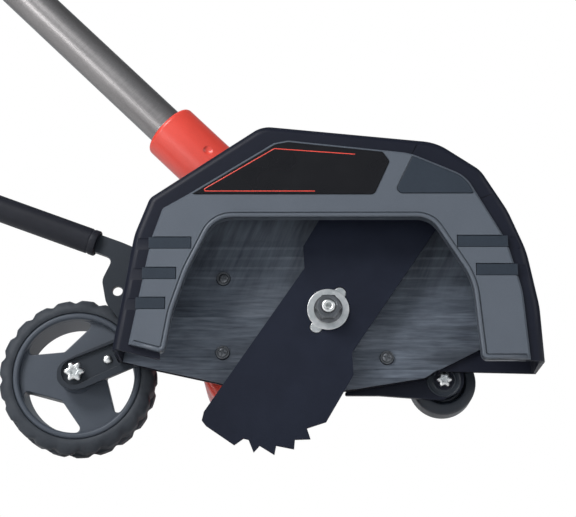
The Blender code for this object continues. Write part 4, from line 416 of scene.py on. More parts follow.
def rings_to_mesh(rings, closed=False, ends=True):
    """Joins rings of points, one to the next, with their ends filled or the last joined to the first."""
    bm = bmesh.new()
    loops = [[bm.verts.new(point) for point in ring] for ring in rings]
    pairs = list(zip(loops, loops[1:]))
    if closed:
        pairs.append((loops[-1], loops[0]))
    for one, two in pairs:
        if len(one) == len(two) == 1:
            continue
        for i in range(max(len(one), len(two))):
            corners = [ring[k % len(ring)] for ring, k in ((one, i), (one, i - 1), (two, i - 1), (two, i))]
            bm.faces.new(list(dict.fromkeys(corners)))
    if ends and not closed:
        for loop in (loops[0], loops[-1]):
            if len(loop) > 2:
                bm.faces.new(loop)
    return bm


def drum(*layers):
    """Outlines in X and Z, each at its own depth along Y."""
    return rings_to_mesh([[(x, depth, z) for x, z in outline] for outline, depth in layers])


def prism(outline, front, back):
    return drum((outline, front), (outline, back))


def box(x, y, z):
    """A block, given by where it starts and ends each way."""
    return prism([(x[0], z[0]), (x[1], z[0]), (x[1], z[1]), (x[0], z[1])], *y)


def near(radius, depth, *steps):
    return [(radius + out, depth + back) for out, back in steps]


def groove(radius, depth, width):
    return near(radius, depth, (0, 0), (-0.8, 0.8), (-0.8, width - 0.8), (0, width))


def spun(profile, middle=(0, 0), steps=72):
    """A profile spun about a line through the middle along Y. It is a ring if it starts away from that line."""
    rings = [[(x, depth, z) for x, z in circle(middle, radius, steps)] if radius > 0 else
             [(middle[0], depth, middle[1])] for radius, depth in profile]
    return rings_to_mesh(rings, closed=profile[0][0] > 0, ends=False)


def pierced(outline, holes, front, back):
    """A flat plate with holes: the ring-shaped face is filled once and then drawn out in depth."""
    bm = bmesh.new()
    for ring in [outline] + holes:
        loop = [bm.verts.new((x, front, z)) for x, z in ring]
        for i, corner in enumerate(loop):
            bm.edges.new((loop[i - 1], corner))
    bmesh.ops.triangle_fill(bm, use_beauty=True, use_dissolve=False, edges=bm.edges[:])
    grown_out = bmesh.ops.extrude_face_region(bm, geom=bm.faces[:])["geom"]
    moved = [item for item in grown_out if isinstance(item, bmesh.types.BMVert)]
    bmesh.ops.translate(bm, verts=moved, vec=(0.0, back - front, 0.0))
    return bm


def trim(path, section):
    """A closed section of offsets and depths, drawn along a path in X and Z."""
    lines = [(aside(path, offset), depth) for offset, depth in section]
    return rings_to_mesh([[(line[i][0], depth, line[i][1]) for line, depth in lines] for i in range(len(path))])


def swept(points, radius, sides=20):
    """A round bar along a path of points in space."""
    path = [Vector(p) for p in points]
    normal = (path[1] - path[0]).orthogonal().normalized()
    rings = []
    for i, here in enumerate(path):
        ahead = (path[min(i + 1, len(path) - 1)] - path[max(i - 1, 0)]).normalized()
        normal = (normal - ahead * normal.dot(ahead)).normalized()
        other = ahead.cross(normal)
        rings.append([here + normal * u + other * v for u, v in circle((0, 0), radius, sides)])
    return rings_to_mesh(rings)


print("body helpers ready")

# %% [markdown]
# Real edges are never sharp. Each finished piece gets bevelled edges and weighted normals, so that flat faces stay
# flat in the light and only the edge shines. Cuts are made at once, which leaves plain meshes.

# %% Making, carving and fitting pieces


def made(name, bm, place=HEAD, unit=MM):
    """An object from a drawing in millimetres of a working frame."""
    bmesh.ops.recalc_face_normals(bm, faces=bm.faces)
    bm.transform(place @ Matrix.Scale(unit, 4))
    mesh = bpy.data.meshes.new(name)
    bm.to_mesh(mesh)
    bm.free()
    return placed(name, mesh)


def bake(piece):
    """Makes the outcome of a piece's modifiers its own mesh."""
    seen = piece.evaluated_get(bpy.context.evaluated_depsgraph_get())
    piece.data = bpy.data.meshes.new_from_object(seen)
    piece.modifiers.clear()


def carve(piece, bm, operation="DIFFERENCE", place=HEAD):
    tool = made("tool", bm, place)
    step = piece.modifiers.new("cut", "BOOLEAN")
    step.operation = operation
    step.solver = "EXACT"
    step.object = tool
    bake(piece)
    bpy.data.objects.remove(tool)


def drill(piece, middle, radius, front, back, place=HEAD):
    carve(piece, prism(circle(middle, radius), front, back), place=place)


def edged(piece, width, segments, angle):
    """Rounds the edges of a piece by a width in millimetres."""
    piece.data.shade_smooth()
    if width:
        bevel = piece.modifiers.new("edges", "BEVEL")
        bevel.width = width * MM
        bevel.segments = segments
        bevel.limit_method = "ANGLE"
        bevel.angle_limit = math.radians(angle)
    piece.modifiers.new("normals", "WEIGHTED_NORMAL").keep_sharp = True
    bake(piece)


def fitted(piece, slot, body, *nodes, width=0.0, segments=3, angle=35):
    """Gives a piece its edges, its finish and its body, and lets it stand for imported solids."""
    if width is not None:
        edged(piece, width, segments, angle)
    piece.data.materials.clear()
    piece.data.materials.append(FINISHES[slot])
    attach(piece, body)
    if nodes:
        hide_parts(*nodes)
    print(piece.name, "on", body, len(piece.data.polygons), "faces")


def turned(name, profile, slot, body, *nodes, middle=(0, 0), place=HEAD, width=0.3, steps=72):
    fitted(made(name, spun(profile, middle, steps), place), slot, body, *nodes, width=width)


def tube_wall(inner, outer, front, back):
    return [(inner, front), (outer, front), (outer, back), (inner, back)]


print("workshop ready")

# %% [markdown]
# The guard is one black moulding that wraps the blade space. Its outline runs from the left foot over the top
# to the right foot, and its front shoulder is a quarter round, made by moving the outline inwards in steps.

# %% Guard
CLEAR = 0.3
COVER_FACE = -24.0
COVER_THICK = 2.7
COVER_BACK = COVER_FACE + COVER_THICK
SHELL_FACE = COVER_BACK + CLEAR
SHELL_BACK = 18.0
WALL = 3.0
BACK_WALL = 2.7
FRONT_WALL = 2.5
SHOULDER = 5.0
LIP_WIDTH = 2.4
FAR_BELOW = -90.0
STRIP_HEIGHT = 6.6
OUTSIDE = rounded([
    (-121, -26.5, 0), (-110.3, 40, 40), (-102, 62, 7), (-38, 105.6, 16), (62.7, 95.7, 30),
    (87.8, 78.8, 18), (102.5, 54.5, 50), (112.3, 30.5, 60), (118.4, -2, 60), (120, -33.5, 0),
])
UNDERSIDE = rounded([
    (120, -33.5, 0), (63, -32.2, 3), (56, -36.8, 4), (14.3, -43.5, 60), (-15, -46, 20),
    (-58.4, -40.6, 20), (-97, -32.2, 0), (-121, -26.5, 0),
], 5)[1:-1]
WINDOW_CORNERS = [
    (-91.4, -30, 0), (-87.3, -6, 50), (-79.5, 17.5, 60), (-64.5, 48.6, 16), (57.8, 48.8, 14),
    (80.6, 12.3, 40), (84.6, -33.2, 0),
]
OPENING = rounded(WINDOW_CORNERS)
COVER_EDGE = rounded([
    (-111.3, -24.8, 0), (-100, 36, 30), (-94, 54, 3), (-80, 62.2, 20), (-31, 93.2, 2),
    (-23, 94.8, 8), (47, 87.2, 36), (78.5, 73.5, 20), (100.5, 34.5, 50), (108.3, 6, 50), (111.3, -33.2, 0),
])
STRIPS = (("left_strip", -1, (33.5, 15.8, -1.5)), ("right_strip", 1, (34.5, 18.0)))
STRIP_SUNK = 0.4
STRIP_PAST_EDGE = 1.0
STRIP_FROM_WINDOW = 5.8
BAND_MARK = 0.35
MARK_START, MARK_END = 92, 130
SEAMS = ((51.0, 92.5, 62), (94.5, 63.5, 20))


def below(path):
    return path + [(path[-1][0], FAR_BELOW), (path[0][0], FAR_BELOW)]


def crossing(path, height, side):
    """The outermost place on one side where a path crosses a height."""
    found = []
    for one, two in zip(path, path[1:]):
        if min(one[1], two[1]) <= height < max(one[1], two[1]):
            found.append(one[0] + (height - one[1]) / (two[1] - one[1]) * (two[0] - one[0]))
    return side * max(side * x for x in found)


def strips(play):
    """The dark bars across the cover: name, side, reach across and reach upwards, with some play around."""
    for name, side, heights in STRIPS:
        for number, middle in enumerate(heights, 1):
            ends = sorted((crossing(COVER_EDGE, middle, side) + side * STRIP_PAST_EDGE,
                           crossing(OPENING, middle, side) + side * STRIP_FROM_WINDOW))
            half = STRIP_HEIGHT / 2 + play
            yield f"{name}_{number}", side, (ends[0] - play, ends[1] + play), (middle - half, middle + half)


shoulder = arc((SHOULDER, SHELL_FACE + SHOULDER), SHOULDER, -QUARTER, -2 * QUARTER, 6)
layers = [(aside(OUTSIDE, -inset) + UNDERSIDE, depth) for inset, depth in shoulder]
shell = made("guard_moulding", drum(*layers, (OUTSIDE + UNDERSIDE, SHELL_BACK)))
carve(shell, prism(below(aside(OUTSIDE, -WALL)), SHELL_FACE + FRONT_WALL, SHELL_BACK - BACK_WALL))
window = below(aside(OPENING, LIP_WIDTH + CLEAR))
carve(shell, prism(window, SHELL_FACE - 5, SHELL_FACE + FRONT_WALL + 3))
for _, side, _, z in strips(0):
    x = sorted((side * MARK_START, side * MARK_END))
    carve(shell, box(x, (SHELL_FACE - 5, SHELL_FACE + BAND_MARK), z))
for x, z, lean in SEAMS:
    carve(shell, box((-9, 9), (-2, 0.5), (-0.3, 0.3)), place=shifted(HEAD, (x, SHELL_FACE, z), math.radians(-lean)))
fitted(shell, "black_shell", "base", "guard_shell")

# %% [markdown]
# The cover is a grey arch clipped on the front of the guard. Its outer edge is chamfered and catches the light,
# and a rounded lip with a thin groove beside it runs around the blade's window. Dark strips fill five slots.

# %% Cover and strips
LABEL_INSET = 1.6
LABEL_LOWEST = 50
LIP_CORNERS = [(x, z, radius or 3.5) for x, z, radius in WINDOW_CORNERS]
LIP_PATH = rounded([(-109.2, -25.35, 0)] + LIP_CORNERS + [(109.2, -33.2, 0)])


def under_edge(left, right, corners):
    """An outline that follows the cover's edge from one place to another and ends in the given corners."""
    line = aside(COVER_EDGE, -LABEL_INSET)
    upper = []
    for one, two in zip(line, line[1:]):
        for x in (left, right):
            if one[0] <= x < two[0] and one[1] > LABEL_LOWEST:
                upper.append((x, one[1] + (x - one[0]) / (two[0] - one[0]) * (two[1] - one[1]), 0))
        if left < two[0] < right and two[1] > LABEL_LOWEST:
            upper.append((*two, 0))
    return rounded(upper + corners, 5)


LABEL = under_edge(-76.7, 31.0, [(35.0, 82.0, 2), (26.0, 62.2, 3), (-75.8, 62.2, 0)])
PANEL = under_edge(48.2, 81.6, [(82.4, 62.8, 0.4), (37.4, 62.8, 3)])
LIP_PROUD = 0.8
LIP_DEEP = 4.0
SEAT_DEEP = 0.9
CHAMFER = 1.2
GROOVE = 0.7
GROOVE_DEEP = 0.9

edges = ((aside(COVER_EDGE, -CHAMFER), COVER_FACE), (COVER_EDGE, COVER_FACE + CHAMFER), (COVER_EDGE, COVER_BACK))
plate = made("cover_moulding", drum(*[(edge + LIP_PATH[::-1], depth) for edge, depth in edges]))
for _, _, x, z in strips(CLEAR):
    carve(plate, box(x, (COVER_FACE - 2, COVER_BACK + 2), z))
for shape in (LABEL, PANEL):
    carve(plate, prism(grown(shape, CLEAR), COVER_FACE - 2, COVER_FACE + SEAT_DEEP))
line = aside(LIP_PATH, LIP_WIDTH - 0.2)
carve(plate, prism(aside(line, GROOVE) + line[::-1], COVER_FACE - 2, COVER_FACE + GROOVE_DEEP))
fitted(plate, "grey_cover", "base", "cover_plate", width=0.3, segments=2, angle=40)
half = LIP_WIDTH / 2
crown = arc((half, COVER_FACE - LIP_PROUD + half), half, math.pi, 2 * math.pi, 8)
lip = trim(LIP_PATH, [(0, COVER_BACK + LIP_DEEP), *crown, (LIP_WIDTH, COVER_BACK + LIP_DEEP)])
fitted(made("cover_lip", lip), "grey_cover", "base")
for name, _, x, z in strips(0):
    bar = box(x, (COVER_FACE + STRIP_SUNK, SHELL_FACE + BAND_MARK), z)
    fitted(made(name, bar), "panel_grey", "base", width=0.3)

# %% [markdown]
# The label is a bare glossy film sunk in the cover, with a thin raised line near its edge. A smaller slate panel
# sits beside it. The line is real geometry, a strip carried along a path.

# %% Label and side panel
BORDER = rounded([(-7.6, 64.0, 0), (-71.6, 64.0, 0.6), (-30.6, 89.0, 2), (15.4, 85.6, 0)], 4)
FILM_THICK = 1.2

back = COVER_FACE + SEAT_DEEP - CLEAR
face = back - FILM_THICK
fitted(made("label_film_plate", prism(LABEL, face, back)), "label_black", "base", "label_plate", width=0.2)
line = trim(BORDER, near(0, face, (0, 0.2), (0, -0.06), (0.5, -0.06), (0.5, 0.2)))
fitted(made("label_border", line), "red_plastic", "base")
fitted(made("side_panel_plate", prism(PANEL, face, back)), "panel_grey", "base", "side_panel", width=0.5)

# %% [markdown]
# The plate behind the blade is stiffened by level ribs. A sheet with a rippled face is drawn across the whole
# guard and then cut to the outline of the space it fills.

# %% Back plate
RIB_PITCH = 6.0
RIB_HEIGHT = 0.35
RIB_COUNT = 16
RIB_STEPS = 8
LOWEST_RIB = -50.0
PLATE_SCREWS = [f"plate_screw_{number}" for number in (1, 2, 3, 4)]
PLATE_BACK = SHELL_BACK - BACK_WALL - CLEAR
PLATE_FACE = PLATE_BACK - 2.2
PIVOT = on_head("pivot_bolt")

edge = [(PLATE_BACK, 120.0), (PLATE_BACK, -60.0)]
for k in range(RIB_COUNT * RIB_STEPS):
    share = k % RIB_STEPS / RIB_STEPS
    height = RIB_HEIGHT * (1.0 - share) if share else 0.0
    edge.append((PLATE_FACE - height, LOWEST_RIB + RIB_PITCH * k / RIB_STEPS))
edge.append((PLATE_FACE, 120.0))
plate = made("back_plate_ribbed", rings_to_mesh([[(x, y, z) for y, z in edge] for x in (-130.0, 130.0)]))
low = aside(UNDERSIDE[::-1], CLEAR)
outline = [p for p in aside(OUTSIDE, -WALL - CLEAR) if p[1] > low[0][1]] + low[::-1]
carve(plate, prism(outline, PLATE_FACE - 5, PLATE_BACK + 5), "INTERSECT")
for middle, radius in [((0, 0), 9.6), (PIVOT, 9.0)] + [(on_head(screw), 4.2) for screw in PLATE_SCREWS]:
    drill(plate, middle, radius, PLATE_FACE - 5, PLATE_BACK + 5)
fitted(plate, "liner_black", "base", "back_plate")

# %% [markdown]
# Cross-head screws are turned, then pressed with a cross. The recess is one plus-shaped cut, and the head is a
# low dome.

# %% Screws


def cross_screw(node, body, place=HEAD):
    low, high = limits(node, place)
    middle = middle_of(node, place)
    radius = (high.x - low.x) / 2
    thick = radius * 0.49
    shank = radius * 0.45
    head = radius * 0.68
    dome = [(head * math.sin(a), 0.5 * (1 - math.cos(a))) for a in (0.5, 0.8, 1.1, 1.35, 1.57)]
    profile = near(0, low.y, (0, 0), *dome, (head + 0.2, 1.0))
    profile += near(radius, low.y, (-0.7, 1.0), (-0.55, 0.35), (-0.2, 0.35), (0, 0.6), (0, thick))
    profile += [(shank, low.y + thick), (shank, high.y), (0, high.y)]
    screw = made(f"{node}_turned", spun(profile, middle, 40), place)
    reach, half = head * 0.78, 0.42
    cross = [(-reach, -half), (-half, -half), (-half, -reach), (half, -reach), (half, -half), (reach, -half),
             (reach, half), (half, half), (half, reach), (-half, reach), (-half, half), (-reach, half)]
    carve(screw, prism(cross, -thick, thick * 0.6), place=shifted(place, (middle[0], low.y, middle[1]), 0.35))
    fitted(screw, "dark_steel", body, node, width=0.1, segments=2)


for screw in PLATE_SCREWS:
    cross_screw(screw, "base")
for number in (1, 2):
    cross_screw(f"handle_screw_{number}", "handle_tube", TUBE)

# %% [markdown]
# The blade has two equal ends, each with a square heel and raked teeth, so it can be turned over when one end is
# worn. Half of the outline is listed as distance along and across, and the other half is the same turned around.

# %% Blade
BLADE_LEAN = math.radians(55.8)
BLADE_HALF_THICK = 1.25
BLADE_HALF = (
    (88, -25), (92.6, -23.2), (93.8, -19.5), (93.8, -0.3), (87.9, 1.9), (86.8, 4.6), (91.1, 11), (86.1, 11.7),
    (85.7, 21.4), (80.9, 19.3), (76.9, 28.7), (72.2, 26.1), (67.1, 33.1), (63.2, 28), (54.1, 35), (23.3, 32.9),
    (13, 25),
)
DOWN_BLADE = Vector((-math.cos(BLADE_LEAN), -math.sin(BLADE_LEAN)))
ACROSS_BLADE = Vector((math.sin(BLADE_LEAN), -math.cos(BLADE_LEAN)))
LUG_FROM_MIDDLE = 12.0

half = [DOWN_BLADE * a + ACROSS_BLADE * p for a, p in BLADE_HALF]
outline = [tuple(p) for p in half] + [tuple(-p) for p in half]
plate = made("blade_coated", prism(outline, -BLADE_HALF_THICK, BLADE_HALF_THICK))
drill(plate, (0, 0), 5.3, -3, 3)
for out in (LUG_FROM_MIDDLE, -LUG_FROM_MIDDLE):
    drill(plate, (out * math.cos(BLADE_LEAN), out * math.sin(BLADE_LEAN)), 3.8, -3, 3)
fitted(plate, "blade_black", "cutter", "blade", width=0.4)

# %% [markdown]
# A wide washer, a flanged nut and the spindle's end hold the blade. Two round lugs of the flange behind it come
# through the blade and stand beside the washer.

# %% Blade fastening
NUT_FLATS = 13.0
BOLT_RADIUS = 4.0
THREADS = 9

low, high = limits("outer_washer")
turned("washer_turned", tube_wall(4.3, high.x, low.y, high.y), "steel", "cutter", "outer_washer", width=0.4)
low, high = limits("flange_nut")
corner = NUT_FLATS / math.sqrt(3)
nut = made("nut_forged", prism(circle((0, 0), corner, 6), low.y, high.y - 0.8))
cone = [(0, low.y), (6.3, low.y), (corner + 1.0, low.y + 1.6), (corner + 1.0, high.y), (0, high.y)]
carve(nut, spun(cone), "INTERSECT")
carve(nut, spun(near(0, high.y, (0, -3.0), (6.6, -2.6), (8.2, -1.0), (8.2, 0), (0, 0))), "UNION")
drill(nut, (0, 0), BOLT_RADIUS + CLEAR, low.y - 2, high.y + 2)
fitted(nut, "dark_steel", "cutter", "flange_nut", width=0.25, segments=2)
low, high = limits("spindle")
profile = near(0, low.y, (0, 5.0), (1.3, 4.4), (1.7, 0.5), (2.1, 0), (3.3, 0), (BOLT_RADIUS, 0.7))
for k in range(THREADS):
    profile += near(BOLT_RADIUS, low.y + k, (-0.4, 1.2), (0, 1.7))
profile += [(BOLT_RADIUS, -BLADE_HALF_THICK), (5.0, -BLADE_HALF_THICK), (5.0, high.y), (0, high.y)]
turned("spindle_turned", profile, "steel", "cutter", "spindle", width=0)

# %% [markdown]
# The depth lever is one bent plate, from the hand grip past its pivot to the wheel's axle. Its arm is pressed
# into a shallow channel, and the plate's edges are well rounded.

# %% Depth lever
LEVER_OUTLINE = rounded([
    (-234.4, 88, 4), (-121, 46, 10), (-109.5, 41, 6), (-97, 10, 20), (-95, -18, 12),
    (-108, -27, 8), (-141, -41.5, 0), (-147.5, -42.6, 4), (-156.6, -38, 6), (-156.4, -27.5, 8),
    (-146.5, -22.2, 3), (-121.5, -11.5, 4), (-120, -2, 6), (-129.4, 9, 10), (-132.2, 23, 8),
    (-126, 36.2, 4), (-238.2, 77.7, 4),
], 6)
AXLE = on_head("wheel_axle")
LEVER_HOLES = ((PIVOT, 4.3), (AXLE, 4.3), ((-122.8, 16.4), 3.0), ((-120.0, -21.0), 2.6))
RIVET = (-127.6, -24.2)
GRIP_START = (-135.5, 20.6, 45.5)
GRIP_WAY = Vector((-0.9377, 0.0, 0.3473))

low, high = limits("depth_lever")
plate = made("lever_pressed", prism(LEVER_OUTLINE, low.y, high.y))
carve(plate, prism(belt(AXLE, 7.6, (-117.0, -18.8), 6.4), low.y - 3, low.y + 2.2))
for middle, radius in LEVER_HOLES:
    drill(plate, middle, radius, low.y - 3, high.y + 3)
fitted(plate, "lever_black", "depth_arm", "depth_lever", width=0.8)
head = near(0, low.y, (0, 0.3), (1.6, 0.5), (2.6, 1.1), (2.6, 2.4), (0, 2.4))
turned("arm_rivet", head, "steel", "depth_arm", middle=RIVET, width=0)

place = shifted(HEAD, GRIP_START, 0.0) @ GRIP_WAY.to_track_quat("Y", "Z").to_matrix().to_4x4()
high = limits("lever_grip", place)[1]
radius, end = high.x, high.y
profile = [(6.4, 0)]
profile += near(radius, 0, (-0.5, 0), (0, 0.5), (0, 3.5), (-0.35, 4.0), (-0.35, 4.8), (0, 5.3))
profile += near(radius, end, (0, -7), (-0.4, -4), (-1.4, -1.8), (-3.2, -0.4))
profile += [(0, end), (0, end - 3), (6.4, end - 3)]
turned("lever_sleeve", profile, "rubber", "depth_arm", "lever_grip", place=place, width=0)

# %% [markdown]
# The rear wheel turns on a bolt through the lever's end. Its three broad spokes pass beside the hub's middle and not
# through it. A disc with three rounded windows gives them their fillets, and rings of rim and hub join it.

# %% Wheel rim
RIM_RADIUS = 36.0
RIM_FRONT = 28.0
SPOKE_LEAN = 45.0
SPOKE_SIDES = (16.0, 4.0)
WINDOW_FILLET = 2.5


def wheel_window(lean, reach):
    """The space between two spokes: a pointed corner near the hub and an arc along the rim."""
    left, right = SPOKE_SIDES
    swing = 2 * math.pi / 3
    corners = [(-(right + left * math.cos(swing)) / math.sin(swing), left, WINDOW_FILLET)]
    edge = arc((0, 0), reach, math.asin(left / reach), swing - math.asin(right / reach), 12)
    for point in (edge[0], *edge[2:-2], edge[-1]):
        corners.append((*point, WINDOW_FILLET if point in (edge[0], edge[-1]) else 0))
    return [tuple(AXLE + Matrix.Rotation(lean, 2) @ Vector(point)) for point in rounded(corners, 6)]


low, high = limits("wheel_rim")
front, back = RIM_FRONT, high.y
inner = RIM_RADIUS - 3.2
windows = [wheel_window(math.radians(SPOKE_LEAN + 120 * k), inner + 0.6) for k in range(3)]
rim = made("wheel_moulding", pierced(circle(AXLE, inner + 1.6, 72), windows, front + 4, front + 15))
fitted(rim, "wheel_black", "rear_wheel", "wheel_rim", width=0.7)
section = near(inner, front, (1.0, 1), (2.0, 0)) + near(RIM_RADIUS, front, (0.4, 0), (1.4, 1), (1.4, 4), (0, 5))
section += near(RIM_RADIUS, back, (0, -5), (1.4, -4), (1.4, -1)) + near(inner, back, (-0.6, -1), (-1.2, -2))
turned("wheel_ring", section, "wheel_black", "rear_wheel", middle=AXLE, width=0.4, steps=96)
section = [(4.3, low.y), (8.5, low.y), (9.5, low.y + 1.0), (10.5, front + 6), (10.5, front + 13), (9.5, back),
           (4.3, back)]
turned("wheel_hub", section, "wheel_black", "rear_wheel", middle=AXLE, steps=48)

# %% [markdown]
# The tyre is a hard rubber ring with lugs in two rows, half a lug apart. One formula gives the height of the
# tread at an angle and a place across it, and the rings of points follow it.

# %% Tyre
LUG_COUNT = 20
LUG_HEIGHT = 1.6
LUG_SLANT = 0.25 / 13.0
SMOOTH_BELOW = 38

low, high = limits("wheel_tyre")
front, back = low.y, high.y
base = max(high.x - AXLE[0], high.z - AXLE[1]) - LUG_HEIGHT
seat = RIM_RADIUS + 1.7
middle = (front + back) / 2


def tread(radius, depth, share):
    across = abs(depth - middle)
    shift = 0.0 if depth < middle else 0.5
    height = LUG_HEIGHT * share * min(1.0, across / 1.2)

    def reach(angle):
        phase = (angle * LUG_COUNT / (2 * math.pi) + shift - across * LUG_SLANT) % 1.0
        return radius + height * min(1.0, max(0.0, 5.0 * (0.36 - abs(phase - 0.5)) + 0.5))

    return [(x, depth, z) for x, z in polar(AXLE, reach, turns(LUG_COUNT * 12))]


side = [(seat - 1.4, 5.4, 0), (seat, 4.6, 0), (seat, 0.6, 0), (seat + 0.8, 0, 0), (base - 3.4, 0, 0),
        (base - 2.0, 0.8, 0.5), (base - 0.7, 2.2, 0.9)]
rings = [tread(radius, front + inset, share) for radius, inset, share in side]
rings += [tread(base, front + 4.0 + k * 1.5, 1) for k in range(13)]
rings += [tread(radius, back - inset, share) for radius, inset, share in side[::-1]]
ring = made("tyre_lugged", rings_to_mesh(rings, closed=True))
ring.data.shade_smooth()
ring.data.set_sharp_from_angle(angle=math.radians(SMOOTH_BELOW))
fitted(ring, "tyre", "rear_wheel", "wheel_tyre", width=None)

# %% [markdown]
# The wheel's axle ends in a star-shaped pressed head: its rim is a circle with six waves. The pins' far ends carry
# hexagon nuts, which are cut from a six-sided bar and chamfered by a double cone.

# %% Axle and nuts


def star_head(node, name, middle, body, shaft, size, rear=0.0):
    """A pin with a six-lobed pressed head, and a flat head at its rear end where it has one."""
    low, high = limits(node)
    face = low.y

    def star(reach, wave, depth):
        return polar(middle, lambda angle: size * (reach + wave * math.cos(6 * angle)), turns(72)), face + depth

    head = made(name, drum(star(2.6, 0.3, 0), star(3.9, 0.7, 0.5), star(4.5, 0.7, 1.3), star(4.5, 0.7, 2.0)))
    carve(head, drum(star(2.2, 0.35, -1), star(1.5, 0.2, 1.2)))
    profile = [(0, face + 1.6), (shaft, face + 1.6)]
    if rear:
        profile += [(shaft, high.y - 2), (shaft + rear, high.y - 2)]
    profile += [(shaft + rear, high.y), (0, high.y)]
    carve(head, spun(profile, middle, 48), "UNION")
    fitted(head, "steel", body, node, width=0.1, segments=1)


def hex_nut(node, body):
    low, high = limits(node)
    middle = middle_of(node)
    reach = (high.x - low.x) / 2
    nut = made(f"{node}_cut", prism(circle(middle, reach, 6), low.y, high.y))
    cone = [(0, low.y), (reach * 0.88, low.y), (reach * 1.05, low.y + 0.9), (reach * 1.05, high.y - 0.9),
            (reach * 0.88, high.y), (0, high.y)]
    carve(nut, spun(cone, middle), "INTERSECT")
    drill(nut, middle, BOLT_RADIUS + CLEAR, low.y - 1, high.y + 1)
    fitted(nut, "steel", body, node, width=0.2, segments=2)


star_head("wheel_axle", "axle_pressed", AXLE, "depth_arm", BOLT_RADIUS, 1.15)
hex_nut("axle_nut", "depth_arm")
hex_nut("pivot_nut", "base")

# %% [markdown]
# A fixed arm under the right of the guard carries the front roller on a pin with a star head. The roller's face
# has a stepped ring, and the arm's front has two raised rings around the pin.

# %% Roller
ROLLER = on_head("roller_pin")
ROLLER_FACE = 26.5
ROLLER_ARM_FRONT = SHELL_BACK + 3.4

low, high = limits("front_roller")
outer = high.x - ROLLER[0]
profile = near(0, low.y, (3.3, 0), (5.2, 0), (6.0, 0.8))
profile += near(0, ROLLER_FACE, (6.0, 3.0), (9.6, 3.0), (10.2, 2.0), (11.4, 2.0), (12.0, 3.0), (12.8, 0.6), (13.6, 0))
profile += near(outer, ROLLER_FACE, (-3.6, 0), (-1.6, 0.7), (-0.4, 2.0), (0, 3.8))
profile += near(outer, high.y, (0, -3.8), (-0.4, -2.0), (-2.4, 0)) + [(3.3, high.y)]
turned("roller_turned", profile, "lever_black", "roller", "front_roller", middle=ROLLER, width=0.2)
star_head("roller_pin", "roller_pin_pressed", ROLLER, "base", 3.0, 0.92, 1.8)
rings = near(0, ROLLER_ARM_FRONT, (5.8, 0.3), (6.0, -0.3), (6.5, -0.7), (7.0, -0.3), (7.2, -0.1), (8.9, -0.1),
             (9.1, -0.3), (9.6, -0.7), (10.1, -0.3), (10.3, 0.3))
turned("roller_arm_rings", rings, "lever_black", "base", middle=ROLLER, width=0)

# %% [markdown]
# The red collar closes the tube's seat on the head. It tapers a little at both ends, is stepped near the head,
# and has a small sunk fixing point on the side that faces us.

# %% Collar and tubes
low, high = limits("tube_collar", TUBE)
start, end, outer = low.x, high.x, high.z
inner, loose = 12.3, 15.3
step = start + 14.0
profile = [(loose, start)]
profile += near(outer, start, (-1.6, 0), (-1.0, 0.6), (-1.0, 7.0), (-0.2, 8.2), (0, 9.0))
profile += arc((outer - 3.0, end - 3.0), 3.0, 0, QUARTER, 6) + near(outer, end, (-3.6, 0), (-3.8, -0.8))
profile += [(inner, end - 0.8), (inner, step), (loose, step)]
ring = made("collar_moulding", spun(profile, steps=96), ALONG)
spot = shifted(TUBE, (start + 18.5, outer, 4.0), QUARTER)
carve(ring, spun([(0, -1.4), (2.8, -1.4), (3.8, 3.0), (0, 3.0)], steps=32), place=spot)
fitted(ring, "red_plastic", "base", "tube_collar")

for node, body, wall in (("lower_tube", "base", 1.5), ("upper_tube", "handle_tube", 1.3)):
    low, high = limits(node, TUBE)
    turned(f"{node}_drawn", tube_wall(high.z - wall, high.z, low.x, high.x), "aluminium_tube", body, node,
           place=ALONG, width=0.4, steps=96)

# %% [markdown]
# The motor sits in a red barrel behind the guard. Three grooves run around its wall, and the end cap lets the
# cooling air out through long slots.

# %% Motor barrel
MOTOR = on_head("motor_rotor")
SLOT_PITCH = 13.0

low, high = limits("motor_cover")
outer = high.x - MOTOR[0]
wall = 2.5
profile = [(5.5, low.y)] + near(outer, low.y, (-4.0, 0), (-1.2, 1.2), (0, 4.0))
for spot in (12.0, 20.0, 28.0):
    profile += groove(outer, low.y + spot, 3.0)
profile += [(outer, high.y), (outer - wall, high.y), (outer - wall, low.y + wall), (5.5, low.y + wall)]
turned("barrel_moulding", profile, "red_plastic", "base", "motor_cover", middle=MOTOR, width=0, steps=96)
low, high = limits("motor_end_cap")
front = high.y - 4.0
plug = outer - wall - CLEAR
profile = [(0, low.y), (plug, low.y), (plug, front), (outer, front)]
profile += near(outer, high.y, (0, -2.4), (-0.8, -1), (-2.6, 0)) + [(0, high.y)]
cap = made("barrel_cap", spun(profile, MOTOR, 96))
for k in (-1, 0, 1):
    level = MOTOR[1] + k * SLOT_PITCH
    slot = tablet(MOTOR[0] - 22, MOTOR[0] + 22, level - 1.6, level + 1.6, 1.5, 1.5, 5)
    carve(cap, prism(slot, low.y - 4, high.y + 4))
fitted(cap, "black_shell", "base", "motor_end_cap", width=0.5)

# %% [markdown]
# Half-way up the tube a sleeve with a cam lever holds the telescope. Grooves around the sleeve give the hand a
# hold.

# %% Telescope clamp
UPPER_RADIUS = limits("upper_tube", TUBE)[1].z
SLEEVE_RADIUS = 18.5
CLAMP_PIN = middle_of("clamp_pin", TUBE)

